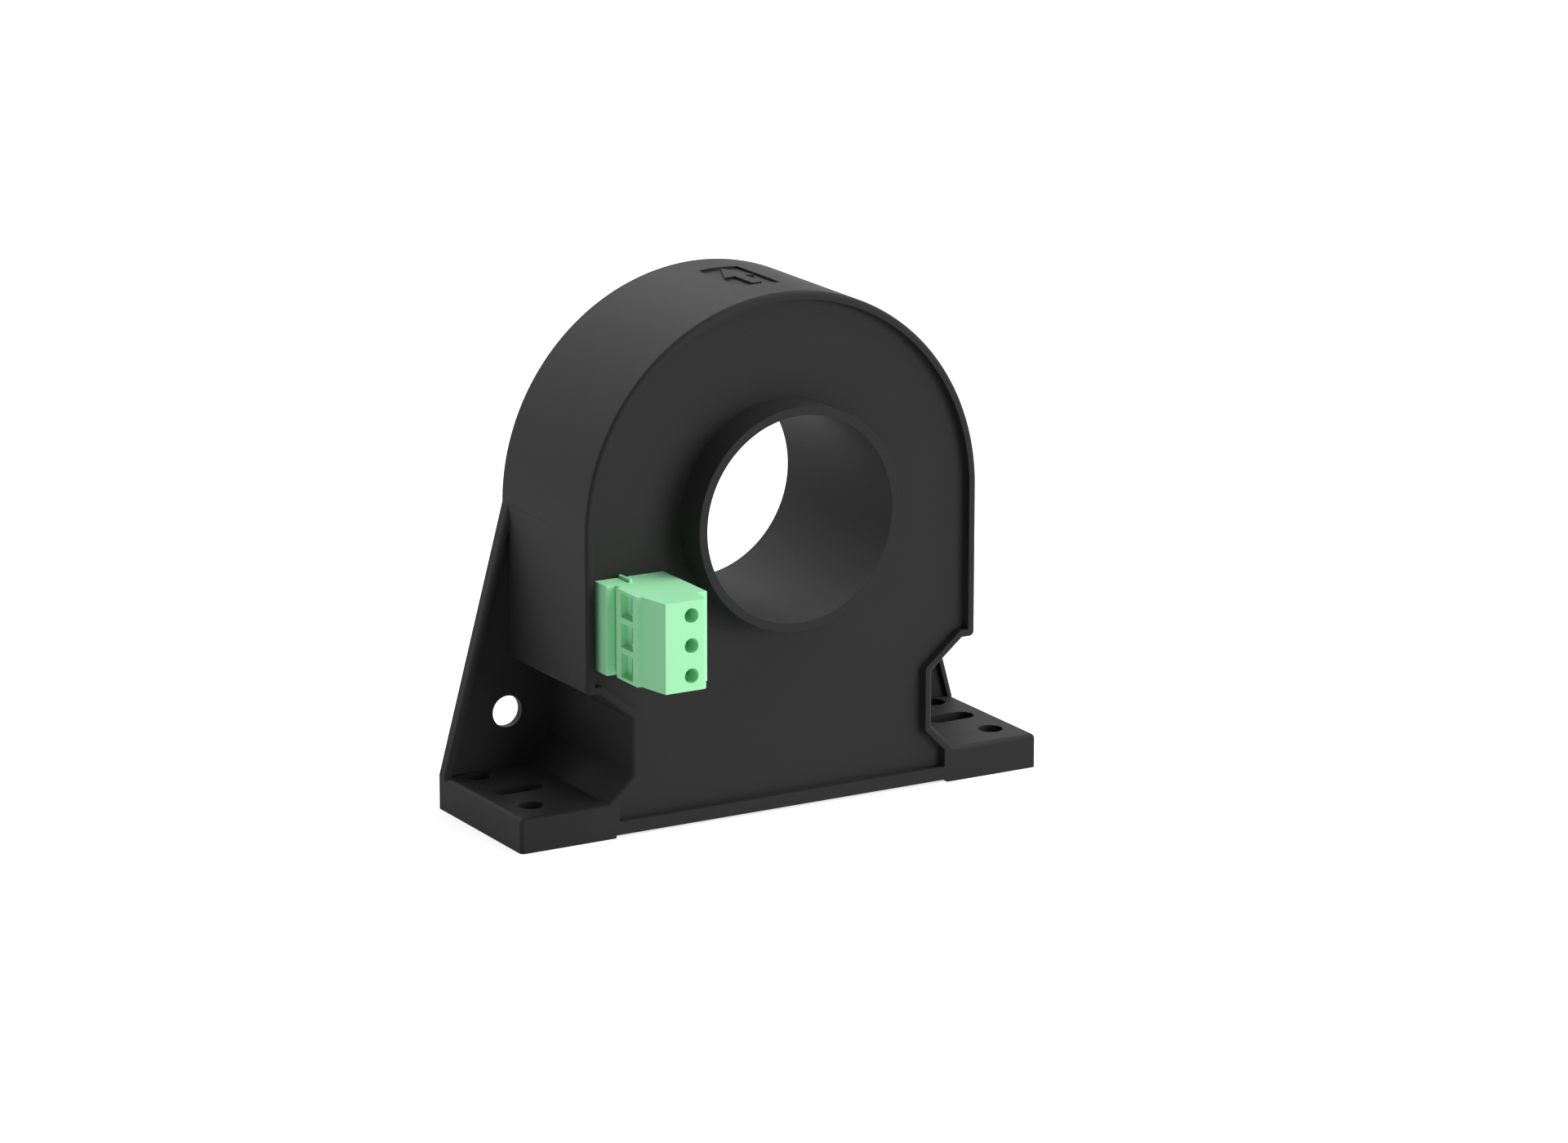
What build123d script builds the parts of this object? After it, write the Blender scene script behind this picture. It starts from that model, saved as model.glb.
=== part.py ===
from build123d import *
import math
import os

# Closed-loop hall current sensor for a busbar or cable, on two mounting feet.
# Frame: origin on the bore axis at mid depth, +X to the right, +Y to the back, +Z up.
# The potted side with the terminal faces -Y. All sizes are in millimetres.

# Opening for the cable, and the space round it for the ring core and its winding
bore_r = 17.7
tube_wall = 1.5
tube_front = 5.2            # how far the tube stands out of the front rim
ring_space = 16.9           # tube to the side wall

# Housing outline, seen from the front
depth = 29.6                # front rim to flat back
wall = 1.4                  # side wall of the moulding
back_wall = 2.0             # flat wall at the back
shoulder_drop = 26.5        # bore axis down to the underside of the shoulders
shoulder_ledge = 2.4        # flat part of that underside
neck_half = 29.1            # half the width of the neck
neck_top_drop = 31.5        # bore axis down to the top of the neck
base_drop = 51.65           # bore axis down to the mounting plane
foot_t = 6.0                # thickness of the feet
foot_span = 100.0           # across both feet
flare = 4.4                 # size of the 45 degree flare from neck to foot
belly_step = 0.5            # how much slimmer the body is between the feet than the flare, each side
belly_floor = 2.3           # floor under the potting
pad_relief = 0.5            # how far the body clears the mounting plane between the feet
pad_inset = 0.8             # how far each foot pad runs in under the body
rim_fillet = 0.7            # rounding of the front edges
corner_fillet = 0.9         # rounding of the shoulder and foot corners
over = 1.0                  # how far cutters run past a face
pick = 0.01                 # how near an edge or corner lies to the plane it is picked by

# Gusset plates behind the feet
gusset_t = 1.5
gusset_top_rise = 0.25      # top corner above the bore axis
gusset_lip = 1.1            # thickness of the lip along the slanted edge
gusset_lip_depth = 2.5      # lip front to flat back
gusset_hole_r = 2.75
gusset_hole_x = 37.75
gusset_hole_drop = 36.0

# Holes in the feet
foot_hole_r = 2.15
foot_hole_in = 5.2          # foot end to the centres of its holes
foot_hole_pitch_y = 19.0
foot_holes_mid_y = 1.2
slot_travel = 5.0           # distance between the end centres of each slot

# Direction arrow in a shallow pocket on the arch
pocket_w = 7.5
pocket_len = 14.5
pocket_mid_y = 0.5
pocket_depth = 0.4
arrow_head_half = 2.8
arrow_shaft_half = 0.9
arrow_head_len = 6.35
arrow_len = 12.3
arrow_tip_gap = 1.0         # tip to the back wall of the pocket

# Potting and circuit board
potting_step = 1.5          # potting surface behind the front rim
board_t = 1.6
board_under_potting = 3.9   # front of the board behind the potting surface
board_gap = 0.6             # board edge to the wall, and board hole to the tube
rib_turn = 45               # upper ribs, in degrees from the top
rib_t = 1.6                 # ribs that carry the board
rib_reach = 1.7             # how far they stand in from the wall

# Gapped ring core, its case and the winding
coil_over_tube = 1.0        # tube to winding
coil_in_wall = 3.1          # winding to the housing wall
coil_behind_board = 1.5
core_width = 10.0
core_gap = 2.0
case_wall = 0.8
coil_fit = 0.1              # clearance of core in case and of case in winding
winding_t = 2.0
winding_window = 40.0       # degrees left open round the gap
hall_t = 1.6
hall_len = 4.0
hall_width = 3.0
hall_legs = 4
hall_leg_w = 0.4

# Parts on the circuit board, seen from the front. "In" is measured from the housing's side or top.
lead_tail = 0.8             # how far leads stand out behind the board or in front of it
axial_lead_r = 0.3
axial_bend_r = 0.6
resistor_r = 1.15
resistor_len = 6.0
resistor_span = 9.0
resistor_rows = [(14.0, 12.0), (9.5, 7.0)]  # x on both sides, and in from the top
diode_r = 1.3
diode_len = 5.0
diode_span = 10.0
diode_in = 8.5
diode_heights = (-4.0, -9.0)
trimmer_w = 4.6
trimmer_h = 2.6
trimmer_rotor_r = 1.5
trimmer_rotor_h = 0.4
trimmer_slot_w = 0.5
trimmer_in = 9.5
trimmer_heights = (-16.5, -23.0)
chip_in = 10.0
chip_height = 6.0
chip_len = 4.9
chip_w = 3.9
chip_h = 1.6
chip_side_legs = 4
chip_leg_pitch = 1.27
chip_leg_w = 0.4
chip_leg_reach = 1.0
chip_leg_h = 0.8
transistor_x = 9.0
transistor_rise = 11.0      # above the mounting plane
transistor_w = 8.0
transistor_t = 3.2
transistor_h = 11.0
transistor_leg_pitch = 2.3
transistor_hole_r = 1.6
transistor_stand = 3.0      # leg length between board and body
leg_w = 0.6
wall_air = 0.1              # parts that lie on the board stand this far off it
capacitor_x = 20.0
capacitor_rise = 12.0       # above the mounting plane
capacitor_r = 4.0
capacitor_h = 11.5
capacitor_pitch = 3.5
capacitor_round = 0.5
wire_r = 0.4
wire_turn = 8.0             # degrees from the edge of the winding window to each lead

# Pluggable terminal: poles stand one above the other. "In" is measured from the header's left side.
poles = 3
pitch = 5.08
terminal_rise = 11.5        # middle of the terminal above the underside of the shoulders
header_wall_gap = 0.95      # left side of the header to the housing wall
header_w = 12.9
header_rim_out = 2.4        # header rim in front of the housing rim
header_side_wall = 1.7
header_end_wall = 0.8
header_floor = 1.4
socket_fit = 0.05           # plug in header
key_fin_w = 0.5
key_fin_h = 0.55
key_fin_in = 4.65
pin_w = 1.0
pin_in = 7.8
pin_behind_board = 1.0
pin_tip_gap = 0.5           # pin tip inside the header rim
pin_chamfer = 0.25

# Plug
plug_front_out = 17.0       # front of the plug in front of the housing rim
plug_entry_in = 1.05        # face with the wire entries
plug_entry_start = 1.5      # header rim to that face
plug_entry_len = 6.9
plug_facet = 0.25           # small facet between entry face and slanted side
plug_shoulder_in = 1.85
plug_front_left_in = 2.95
plug_front_right_in = 10.75
plug_step_in = 11.05
plug_step_out = 13.1        # step on the right side, in front of the housing rim
plug_round = 0.85           # rounding between the front and the slanted right side
tongue_gap = 0.2            # tongue to header floor
entry_w = 4.0
entry_depth = 1.3
throat_h = 2.6
screw_hole_r = 1.25
chamber_w = 4.2             # chamber of each pole, along Z
chamber_left_in = 5.2
chamber_right_in = 11.1
chamber_floor = 0.3         # chamber to the plane of the header rim

# Clamp parts of each pole
strip_t = 0.7               # contact metal
contact_w = 2.4
contact_fit = 0.1
fork_fit = 0.05             # fork leg to pin
fork_len = 5.6
cage_t = 0.7
cage_len = 4.0
cage_side_t = 0.5
clamp_travel = 1.8
clamp_rest_gap = 0.1
head_r = 1.9
head_t = 0.8
head_cover = 4.2            # plastic in front of the screw head
driver_slot_w = 0.6
driver_slot_depth = 0.4
shank_r = 1.25
shank_fit = 0.05

# Places worked out from the sizes above
rim_y = -depth / 2
back_y = depth / 2
body_r = bore_r + tube_wall + ring_space + wall     # arch radius, and half the upper body's width
foot_top_z = foot_t - base_drop
flare_top_z = foot_top_z + flare
belly_half = neck_half + flare - belly_step
foot_hole_x = foot_span / 2 - foot_hole_in
potting_y = rim_y + potting_step
board_y = potting_y + board_under_potting
board_back_y = board_y + board_t
tail_back_y = board_back_y + lead_tail
tail_front_y = board_y - lead_tail
floor_y = back_y - back_wall
tube_r = bore_r + tube_wall
case_half = core_width / 2 + coil_fit + case_wall
coil_half = case_half + coil_fit + winding_t
coil_r0 = tube_r + coil_over_tube
coil_r1 = body_r - wall - coil_in_wall
case_r0 = coil_r0 + winding_t + coil_fit
case_r1 = coil_r1 - winding_t - coil_fit
core_r0 = case_r0 + case_wall + coil_fit
core_r1 = case_r1 - case_wall - coil_fit
core_mid_y = board_back_y + coil_behind_board + coil_half
terminal_len = poles * pitch
terminal_mid_z = terminal_rise - shoulder_drop
terminal_low_z = terminal_mid_z - terminal_len / 2
terminal_top_z = terminal_mid_z + terminal_len / 2
header_rim_y = rim_y - header_rim_out
header_left_x = -(body_r - wall - header_wall_gap)
header_right_x = header_left_x + header_w
key_fin_x = header_left_x + key_fin_in
pin_x = header_left_x + pin_in
plug_entry_x = header_left_x + plug_entry_in
chamber_left_x = header_left_x + chamber_left_in
chamber_right_x = header_left_x + chamber_right_in
socket_floor_y = board_y - header_floor
socket_left_x = header_left_x + header_side_wall
socket_right_x = header_right_x - header_side_wall
plug_front_y = rim_y - plug_front_out
tongue_end_y = socket_floor_y - tongue_gap
entry_near_y = header_rim_y - plug_entry_start
entry_mid_y = entry_near_y - plug_entry_len / 2
chamber_end_y = header_rim_y - chamber_floor
head_y = plug_front_y + head_cover
cage_y = head_y + head_t + clamp_rest_gap + clamp_travel
bar_y = cage_y + cage_t + clamp_rest_gap
throat_y = bar_y + strip_t
throat_end_y = throat_y + clamp_travel + clamp_rest_gap
pole_z = [terminal_mid_z + (poles - 1 - 2 * i) * pitch / 2 for i in range(poles)]


def slab(face, y0, y1):
    """Stand a face drawn as (x, z) between the planes y0 and y1."""
    return extrude(Plane.XZ.offset(-y1) * face, amount=y1 - y0)


def tower(face, z0, z1):
    """Raise a face drawn as (x, y) from z0 to z1."""
    return extrude(Pos(0, 0, z0) * face, amount=z1 - z0)


def block(x0, x1, y0, y1, z0, z1):
    """Box between two corners."""
    return Pos((x0 + x1) / 2, (y0 + y1) / 2, (z0 + z1) / 2) * Box(x1 - x0, y1 - y0, z1 - z0)


def rod(x, z, r, y0, y1):
    """Round bar along Y."""
    return slab(Pos(x, z) * Circle(r), y0, y1)


def ring(r0, r1, y0, y1):
    """Flat-ended ring about the bore axis."""
    return slab(Circle(r1) - Circle(r0), y0, y1)


def mirrored(points):
    """Close a half outline, drawn from the top down to the middle, with its mirror image."""
    return points + [(-x, z) for x, z in reversed(points) if x > 0]


def arch_face(r, points):
    """Half disc of radius r above the axis, on top of a symmetric outline below it."""
    upper = Circle(r) & Pos(0, r / 2) * Rectangle(2 * r, r)
    return upper + make_face(Polyline(*mirrored(points), close=True))


def body_points(bottom_z, side_x):
    """Right half of the body outline below the bore axis, down to bottom_z."""
    return [
        (body_r, 0),
        (body_r, -shoulder_drop),
        (body_r - shoulder_ledge, -shoulder_drop),
        (neck_half, -neck_top_drop),
        (neck_half, flare_top_z),
        (side_x, flare_top_z - (side_x - neck_half)),
        (side_x, bottom_z),
    ]


def outer_face():
    """Whole front outline of the moulding with its feet."""
    half = foot_span / 2
    pad_x = belly_half - pad_inset
    points = body_points(foot_top_z, neck_half + flare)[:-1]
    points += [
        (half, foot_top_z),
        (half, -base_drop),
        (pad_x, -base_drop),
        (pad_x, pad_relief - base_drop),
    ]
    face = arch_face(body_r, points)
    corners = [
        v for v in face.vertices() for x, z in ((body_r, -shoulder_drop), (half, foot_top_z))
        if abs(abs(v.X) - x) < pick and abs(v.Y - z) < pick
    ]
    return fillet(corners, corner_fillet)


def cavity_face(gap=0.0):
    """Outline of the potted space, or of what stands inside it with a gap."""
    bottom = pad_relief - base_drop + belly_floor - wall
    core = arch_face(body_r, body_points(bottom, belly_half))
    return offset(core, -(wall + gap), kind=Kind.INTERSECTION)


def board_ribs():
    """Ribs on the cavity wall that the board rests on."""
    inner_r = body_r - wall
    upper = [
        Rot(0, turn, 0) * block(-rib_t / 2, rib_t / 2, board_back_y, floor_y,
                                inner_r - rib_reach, inner_r + wall / 2)
        for turn in (-rib_turn, rib_turn)
    ]
    neck_in = neck_half - wall
    rib_z = (flare_top_z - neck_top_drop) / 2
    lower = [
        block(*sorted((side * (neck_in - rib_reach), side * (neck_in + wall / 2))),
              board_back_y, floor_y, rib_z - rib_t / 2, rib_z + rib_t / 2)
        for side in (-1, 1)
    ]
    return upper + lower


def gusset(side):
    """Slanted plate with its lip, behind one foot."""
    top = (side * body_r, gusset_top_rise)
    toe = (side * foot_span / 2, foot_top_z)
    inner_x = side * (neck_half - wall)
    plate = make_face(Polyline(top, toe, (inner_x, foot_top_z), (inner_x, gusset_top_rise), close=True))
    run = toe[0] - top[0]
    drop = toe[1] - top[1]
    shift = side * gusset_lip * math.hypot(run, drop) / abs(drop)
    lip_face = make_face(Polyline(top, toe, (toe[0] - shift, toe[1]), (top[0] - shift, top[1]), close=True))
    lip = slab(lip_face, back_y - gusset_lip_depth, back_y)
    front = lip.faces().sort_by(Axis.Y)[0]
    outer_edge = sorted(front.edges(), key=lambda e: side * e.center().X)[-1]
    return slab(plate, back_y - gusset_t, back_y) + fillet(outer_edge, rim_fillet)


def foot_cuts(side):
    """Two round holes and a slot through one foot."""
    holes = [
        Pos(side * foot_hole_x, foot_holes_mid_y + end * foot_hole_pitch_y / 2) * Circle(foot_hole_r)
        for end in (-1, 1)
    ]
    slot_x = side * (foot_hole_x - slot_travel / 2)
    slot = Pos(slot_x, foot_holes_mid_y) * SlotCenterToCenter(slot_travel, 2 * foot_hole_r)
    return [tower(face, -base_drop - over, foot_top_z + over) for face in holes + [slot]]


def arrow_pocket():
    """Cutter for the shallow pocket that leaves the arrow standing flush."""
    back = pocket_mid_y + pocket_len / 2
    tip = back - arrow_tip_gap
    barb = tip - arrow_head_len
    tail = tip - arrow_len
    arrow = make_face(Polyline(
        (0, tip), (arrow_head_half, barb), (arrow_shaft_half, barb), (arrow_shaft_half, tail),
        (-arrow_shaft_half, tail), (-arrow_shaft_half, barb), (-arrow_head_half, barb), close=True))
    frame = Pos(0, pocket_mid_y) * Rectangle(pocket_w, pocket_len) - arrow
    cutter = tower(frame, body_r - 2 * wall, body_r + over)
    return cutter & ring(body_r - pocket_depth, body_r + 2 * over, rim_y, back_y)


def housing():
    """One black moulding: arch, neck, feet, gussets and bore tube."""
    solid = slab(outer_face(), rim_y, back_y)
    rim = [
        e for e in solid.edges()
        if abs(e.center().Y - rim_y) < pick and e.center().Z > pad_relief - base_drop + pick
    ]
    solid = fillet(rim, rim_fillet)
    solid -= slab(cavity_face(), rim_y - over, floor_y)
    solid += ring(bore_r, tube_r, rim_y - tube_front, back_y)
    solid += board_ribs()
    solid += [gusset(side) for side in (-1, 1)]
    solid -= rod(0, 0, bore_r, rim_y - tube_front - over, back_y + over)
    for side in (-1, 1):
        solid -= foot_cuts(side)
        solid -= rod(side * gusset_hole_x, -gusset_hole_drop, gusset_hole_r, floor_y, back_y + over)
    return solid - arrow_pocket()


def board_blank():
    """Board across the whole cavity, round the tube and on the ribs."""
    face = cavity_face(board_gap) - Circle(tube_r + board_gap)
    return slab(face, board_y, board_back_y)


def core_gap_cut():
    """Slot through ring and case at the bottom, for the hall element."""
    low, high = core_mid_y - case_half - over, core_mid_y + case_half + over
    return block(-core_gap / 2, core_gap / 2, low, high, -case_r1 - over, 0)


def magnetic_core():
    """Gapped ring core."""
    half = core_width / 2
    return ring(core_r0, core_r1, core_mid_y - half, core_mid_y + half) - core_gap_cut()


def core_case(side):
    """Half shell round the core: side -1 is the front one, 1 the rear one."""
    outer = sorted((core_mid_y, core_mid_y + side * case_half))
    inner = sorted((core_mid_y, core_mid_y + side * (case_half - case_wall)))
    shell = ring(case_r0, case_r1, *outer)
    shell -= ring(core_r0 - coil_fit, core_r1 + coil_fit, *inner)
    return shell - core_gap_cut()


def compensation_winding():
    """Coil over the case, with a window left open round the gap."""
    low, high = core_mid_y - coil_half, core_mid_y + coil_half
    coil = ring(coil_r0, coil_r1, low, high)
    coil -= ring(coil_r0 + winding_t, coil_r1 - winding_t, low + winding_t, high - winding_t)
    half = math.radians(winding_window / 2)
    reach = 2 * coil_r1
    foot = reach * math.sin(half)
    drop = -reach * math.cos(half)
    wedge = make_face(Polyline((0, 0), (-foot, drop), (foot, drop), close=True))
    return coil - slab(wedge, low - over, high + over)


def hall_element():
    """Sensor in the gap, its legs forward to the board."""
    mid_z = -(core_r0 + core_r1) / 2
    low, high = core_mid_y - hall_width / 2, core_mid_y + hall_width / 2
    body = block(-hall_t / 2, hall_t / 2, low, high, mid_z - hall_len / 2, mid_z + hall_len / 2)
    half = hall_leg_w / 2
    for i in range(hall_legs):
        z = mid_z + (i - (hall_legs - 1) / 2) * hall_len / hall_legs
        body += block(-half, half, tail_front_y, low, z - half, z + half)
    return body


def winding_lead(side):
    """Wire from the front of the winding into the board."""
    turn = math.radians(winding_window / 2 + wire_turn)
    x = side * core_r1 * math.sin(turn)
    z = -core_r1 * math.cos(turn)
    return rod(x, z, wire_r, tail_front_y, core_mid_y - coil_half)


def axial_part(place, r, length, span):
    """Round body lying on the board, both leads bent back into it."""
    x, z = place
    mid_y = board_y - r - wall_air
    path = FilletPolyline(
        (x - span / 2, tail_back_y, z), (x - span / 2, mid_y, z),
        (x + span / 2, mid_y, z), (x + span / 2, tail_back_y, z), radius=axial_bend_r)
    lead = sweep(Plane(path @ 0, z_dir=path % 0) * Circle(axial_lead_r), path)
    barrel = Pos(x, mid_y, z) * Rot(0, 90, 0) * Cylinder(r, length)
    return lead + barrel


def trimmer(place):
    """Square trimmer with a slotted rotor and three pins."""
    x, z = place
    half = trimmer_w / 2
    top = board_y - trimmer_h
    body = block(x - half, x + half, top, board_y, z - half, z + half)
    body += rod(x, z, trimmer_rotor_r, top - trimmer_rotor_h, top)
    body -= block(x - trimmer_rotor_r, x + trimmer_rotor_r, top - trimmer_rotor_h, top,
                  z - trimmer_slot_w / 2, z + trimmer_slot_w / 2)
    reach = half - leg_w
    for dx, dz in ((-reach, -reach), (reach, -reach), (0, reach)):
        body += block(x + dx - leg_w / 2, x + dx + leg_w / 2, board_y, tail_back_y,
                      z + dz - leg_w / 2, z + dz + leg_w / 2)
    return body


def amplifier_chip():
    """Flat chip on its two rows of legs."""
    x, z = body_r - chip_in, chip_height
    body = block(x - chip_w / 2, x + chip_w / 2, board_y - chip_h, board_y - wall_air,
                 z - chip_len / 2, z + chip_len / 2)
    for i in range(chip_side_legs):
        leg_z = z + (i - (chip_side_legs - 1) / 2) * chip_leg_pitch
        for side in (-1, 1):
            near, far = sorted((x + side * chip_w / 2, x + side * (chip_w / 2 + chip_leg_reach)))
            body += block(near, far, board_y - chip_leg_h, board_y,
                          leg_z - chip_leg_w / 2, leg_z + chip_leg_w / 2)
    return body


def output_transistor(side):
    """Flat-bodied transistor that stands behind the board."""
    x, z = side * transistor_x, transistor_rise - base_drop
    low = board_back_y + transistor_stand
    high = low + transistor_h
    half_w, half_t, half_leg = transistor_w / 2, transistor_t / 2, leg_w / 2
    body = block(x - half_w, x + half_w, low, high, z - half_t, z + half_t)
    body -= Pos(x, high - half_w, z) * Cylinder(transistor_hole_r, 2 * transistor_t)
    for i in (-1, 0, 1):
        leg_x = x + i * transistor_leg_pitch
        body += block(leg_x - half_leg, leg_x + half_leg, tail_front_y, low, z - half_leg, z + half_leg)
    return body


def filter_capacitor(side):
    """Round can behind the board, with a rounded top and two leads."""
    x, z = side * capacitor_x, capacitor_rise - base_drop
    can = rod(x, z, capacitor_r, board_back_y, board_back_y + capacitor_h)
    can = fillet(can.edges().sort_by(Axis.Y)[-1], capacitor_round)
    for end in (-1, 1):
        can += rod(x + end * capacitor_pitch / 2, z, axial_lead_r, tail_front_y, board_back_y)
    return can


def terminal_header():
    """Open box soldered to the board, with the keying fin on top."""
    box = block(header_left_x, header_right_x, header_rim_y, board_y, terminal_low_z, terminal_top_z)
    box -= block(socket_left_x, socket_right_x, header_rim_y - over, socket_floor_y,
                 terminal_low_z + header_end_wall, terminal_top_z - header_end_wall)
    box += block(key_fin_x - key_fin_w / 2, key_fin_x + key_fin_w / 2, header_rim_y, potting_y,
                 terminal_top_z, terminal_top_z + key_fin_h)
    for z in pole_z:
        box -= block(pin_x - pin_w / 2, pin_x + pin_w / 2, socket_floor_y - over, board_y + over,
                     z - pin_w / 2, z + pin_w / 2)
    return box


def header_pin(z):
    """Square pin from behind the board into the socket."""
    half = pin_w / 2
    tip_y = header_rim_y + pin_tip_gap
    pin = block(pin_x - half, pin_x + half, tip_y, board_back_y + pin_behind_board, z - half, z + half)
    return chamfer(pin.faces().sort_by(Axis.Y)[0].edges(), pin_chamfer)


def plug_outline():
    """Section of the plug outside the header, drawn as (x, y)."""
    waist_x = socket_left_x + socket_fit
    facet_y = entry_near_y - plug_entry_len
    front_right = (header_left_x + plug_front_right_in, plug_front_y)
    face = make_face(Polyline(
        (waist_x, header_rim_y), (waist_x, entry_near_y), (plug_entry_x, entry_near_y),
        (plug_entry_x, facet_y), (header_left_x + plug_shoulder_in, facet_y - plug_facet),
        (header_left_x + plug_front_left_in, plug_front_y), front_right,
        (header_left_x + plug_step_in, rim_y - plug_step_out), (header_right_x, rim_y - plug_step_out),
        (header_right_x, header_rim_y), close=True))
    corner = [v for v in face.vertices() if math.dist((v.X, v.Y), front_right) < pick]
    return fillet(corner, plug_round)


def plug_body():
    """Green plug: outline, tongue in the header, and the hollows of each pole."""
    end_gap = header_end_wall + socket_fit
    solid = tower(plug_outline(), terminal_low_z, terminal_top_z)
    solid += block(socket_left_x + socket_fit, socket_right_x - socket_fit, header_rim_y, tongue_end_y,
                   terminal_low_z + end_gap, terminal_top_z - end_gap)
    fork_half = pin_w / 2 + fork_fit + strip_t + contact_fit
    slot_half = contact_w / 2 + contact_fit
    floor_x = plug_entry_x + entry_depth
    for z in pole_z:
        solid -= block(plug_entry_x - over, floor_x, entry_mid_y - entry_w / 2, entry_mid_y + entry_w / 2,
                       z - entry_w / 2, z + entry_w / 2)
        solid -= block(floor_x - over, chamber_left_x + over, throat_y, throat_end_y,
                       z - throat_h / 2, z + throat_h / 2)
        solid -= block(chamber_left_x, chamber_right_x, head_y, chamber_end_y,
                       z - chamber_w / 2, z + chamber_w / 2)
        solid -= block(pin_x - fork_half, pin_x + fork_half, chamber_end_y - over, tongue_end_y + over,
                       z - slot_half, z + slot_half)
        solid -= rod(pin_x, z, screw_hole_r, plug_front_y - over, head_y + over)
    return solid


def plug_contact(z):
    """Bar over the wire, a strip down the side and a fork on the pin, folded from one strip."""
    left = chamber_left_x + contact_fit
    right = chamber_right_x - contact_fit
    inner = pin_w / 2 + fork_fit
    outer = inner + strip_t
    base_y = chamber_end_y - strip_t
    low, high = z - contact_w / 2, z + contact_w / 2
    metal = block(left, right, bar_y, bar_y + strip_t, low, high)
    metal += block(right - strip_t, right, bar_y, chamber_end_y, low, high)
    metal += block(pin_x - outer, right, base_y, chamber_end_y, low, high)
    for x in (pin_x - outer, pin_x + inner):
        metal += block(x, x + strip_t, base_y, chamber_end_y + fork_len, low, high)
    return metal


def wire_clamp(z):
    """Cage that the screw draws up against the bar. It is shown open."""
    inner = contact_w / 2 + contact_fit
    outer = inner + cage_side_t
    x0, x1 = pin_x - cage_len / 2, pin_x + cage_len / 2
    cage = block(x0, x1, cage_y, throat_end_y + cage_t, z - outer, z + outer)
    cage -= block(x0 - over, x1 + over, cage_y + cage_t, throat_end_y, z - inner, z + inner)
    return cage - rod(pin_x, z, shank_r + shank_fit, cage_y - over, cage_y + cage_t + clamp_rest_gap)


def clamp_screw(z):
    """Slotted screw held behind its hole, with the shank through the cage."""
    screw = rod(pin_x, z, head_r, head_y, head_y + head_t)
    screw += rod(pin_x, z, shank_r, head_y + head_t, bar_y - clamp_rest_gap)
    return screw - block(pin_x - head_r, pin_x + head_r, head_y - over, head_y + driver_slot_depth,
                         z - driver_slot_w / 2, z + driver_slot_w / 2)


def board_parts():
    """Everything with leads or pins through the board."""
    parts = {"hall_element": hall_element()}
    resistor_places = [(side * x, body_r - down) for x, down in resistor_rows for side in (-1, 1)]
    for i, place in enumerate(resistor_places):
        parts[f"resistor_{i + 1}"] = axial_part(place, resistor_r, resistor_len, resistor_span)
    for i, height in enumerate(diode_heights):
        place = (body_r - diode_in, height)
        parts[f"diode_{i + 1}"] = axial_part(place, diode_r, diode_len, diode_span)
    for name, height in zip(("zero_trimmer", "gain_trimmer"), trimmer_heights):
        parts[name] = trimmer((body_r - trimmer_in, height))
    for i, side in enumerate((-1, 1)):
        parts[f"output_transistor_{i + 1}"] = output_transistor(side)
        parts[f"filter_capacitor_{i + 1}"] = filter_capacitor(side)
    for name, side in (("winding_lead_start", -1), ("winding_lead_finish", 1)):
        parts[name] = winding_lead(side)
    for i, z in enumerate(pole_z):
        parts[f"header_pin_{i + 1}"] = header_pin(z)
    return parts


def sealed_parts():
    """All that the potting closes in, with the board's holes cut round the leads."""
    parts = board_parts()
    parts["circuit_board"] = board_blank() - list(parts.values())
    parts["amplifier_chip"] = amplifier_chip()
    parts["magnetic_core"] = magnetic_core()
    parts["core_case_front"] = core_case(-1)
    parts["core_case_rear"] = core_case(1)
    parts["compensation_winding"] = compensation_winding()
    return parts


def potting_compound(sealed):
    """Resin poured round everything in the cavity, up to a flat face."""
    resin = slab(cavity_face() - Circle(tube_r), potting_y, floor_y)
    resin -= board_ribs()
    resin -= block(header_left_x, header_right_x, header_rim_y, board_y, terminal_low_z, terminal_top_z)
    return resin - list(sealed.values())


def plug_parts():
    """The plug and the metal parts of each pole."""
    parts = {"plug_body": plug_body()}
    for i, z in enumerate(pole_z):
        parts[f"plug_contact_{i + 1}"] = plug_contact(z)
        parts[f"wire_clamp_{i + 1}"] = wire_clamp(z)
        parts[f"clamp_screw_{i + 1}"] = clamp_screw(z)
    return parts


def main():
    os.makedirs("parts", exist_ok=True)
    sealed = sealed_parts()
    parts = {
        "housing": housing(),
        "potting_compound": potting_compound(sealed),
        "terminal_header": terminal_header(),
        **sealed,
        **plug_parts(),
    }
    for name, solid in parts.items():
        print(name, round(solid.volume, 2), len(solid.solids()), solid.is_valid)
        export_step(solid, f"parts/{name}.step")


main()
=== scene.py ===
"""Looks of a closed-loop hall current sensor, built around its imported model.

Every length is in metres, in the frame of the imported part: the origin lies on the bore axis,
+X points to the right, +Y to the flat back and +Z up.
"""

import logging
import math
from dataclasses import dataclass, field
from enum import Enum
from typing import Iterable, Sequence

import bmesh
import bpy
from mathutils import Matrix, Vector


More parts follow.
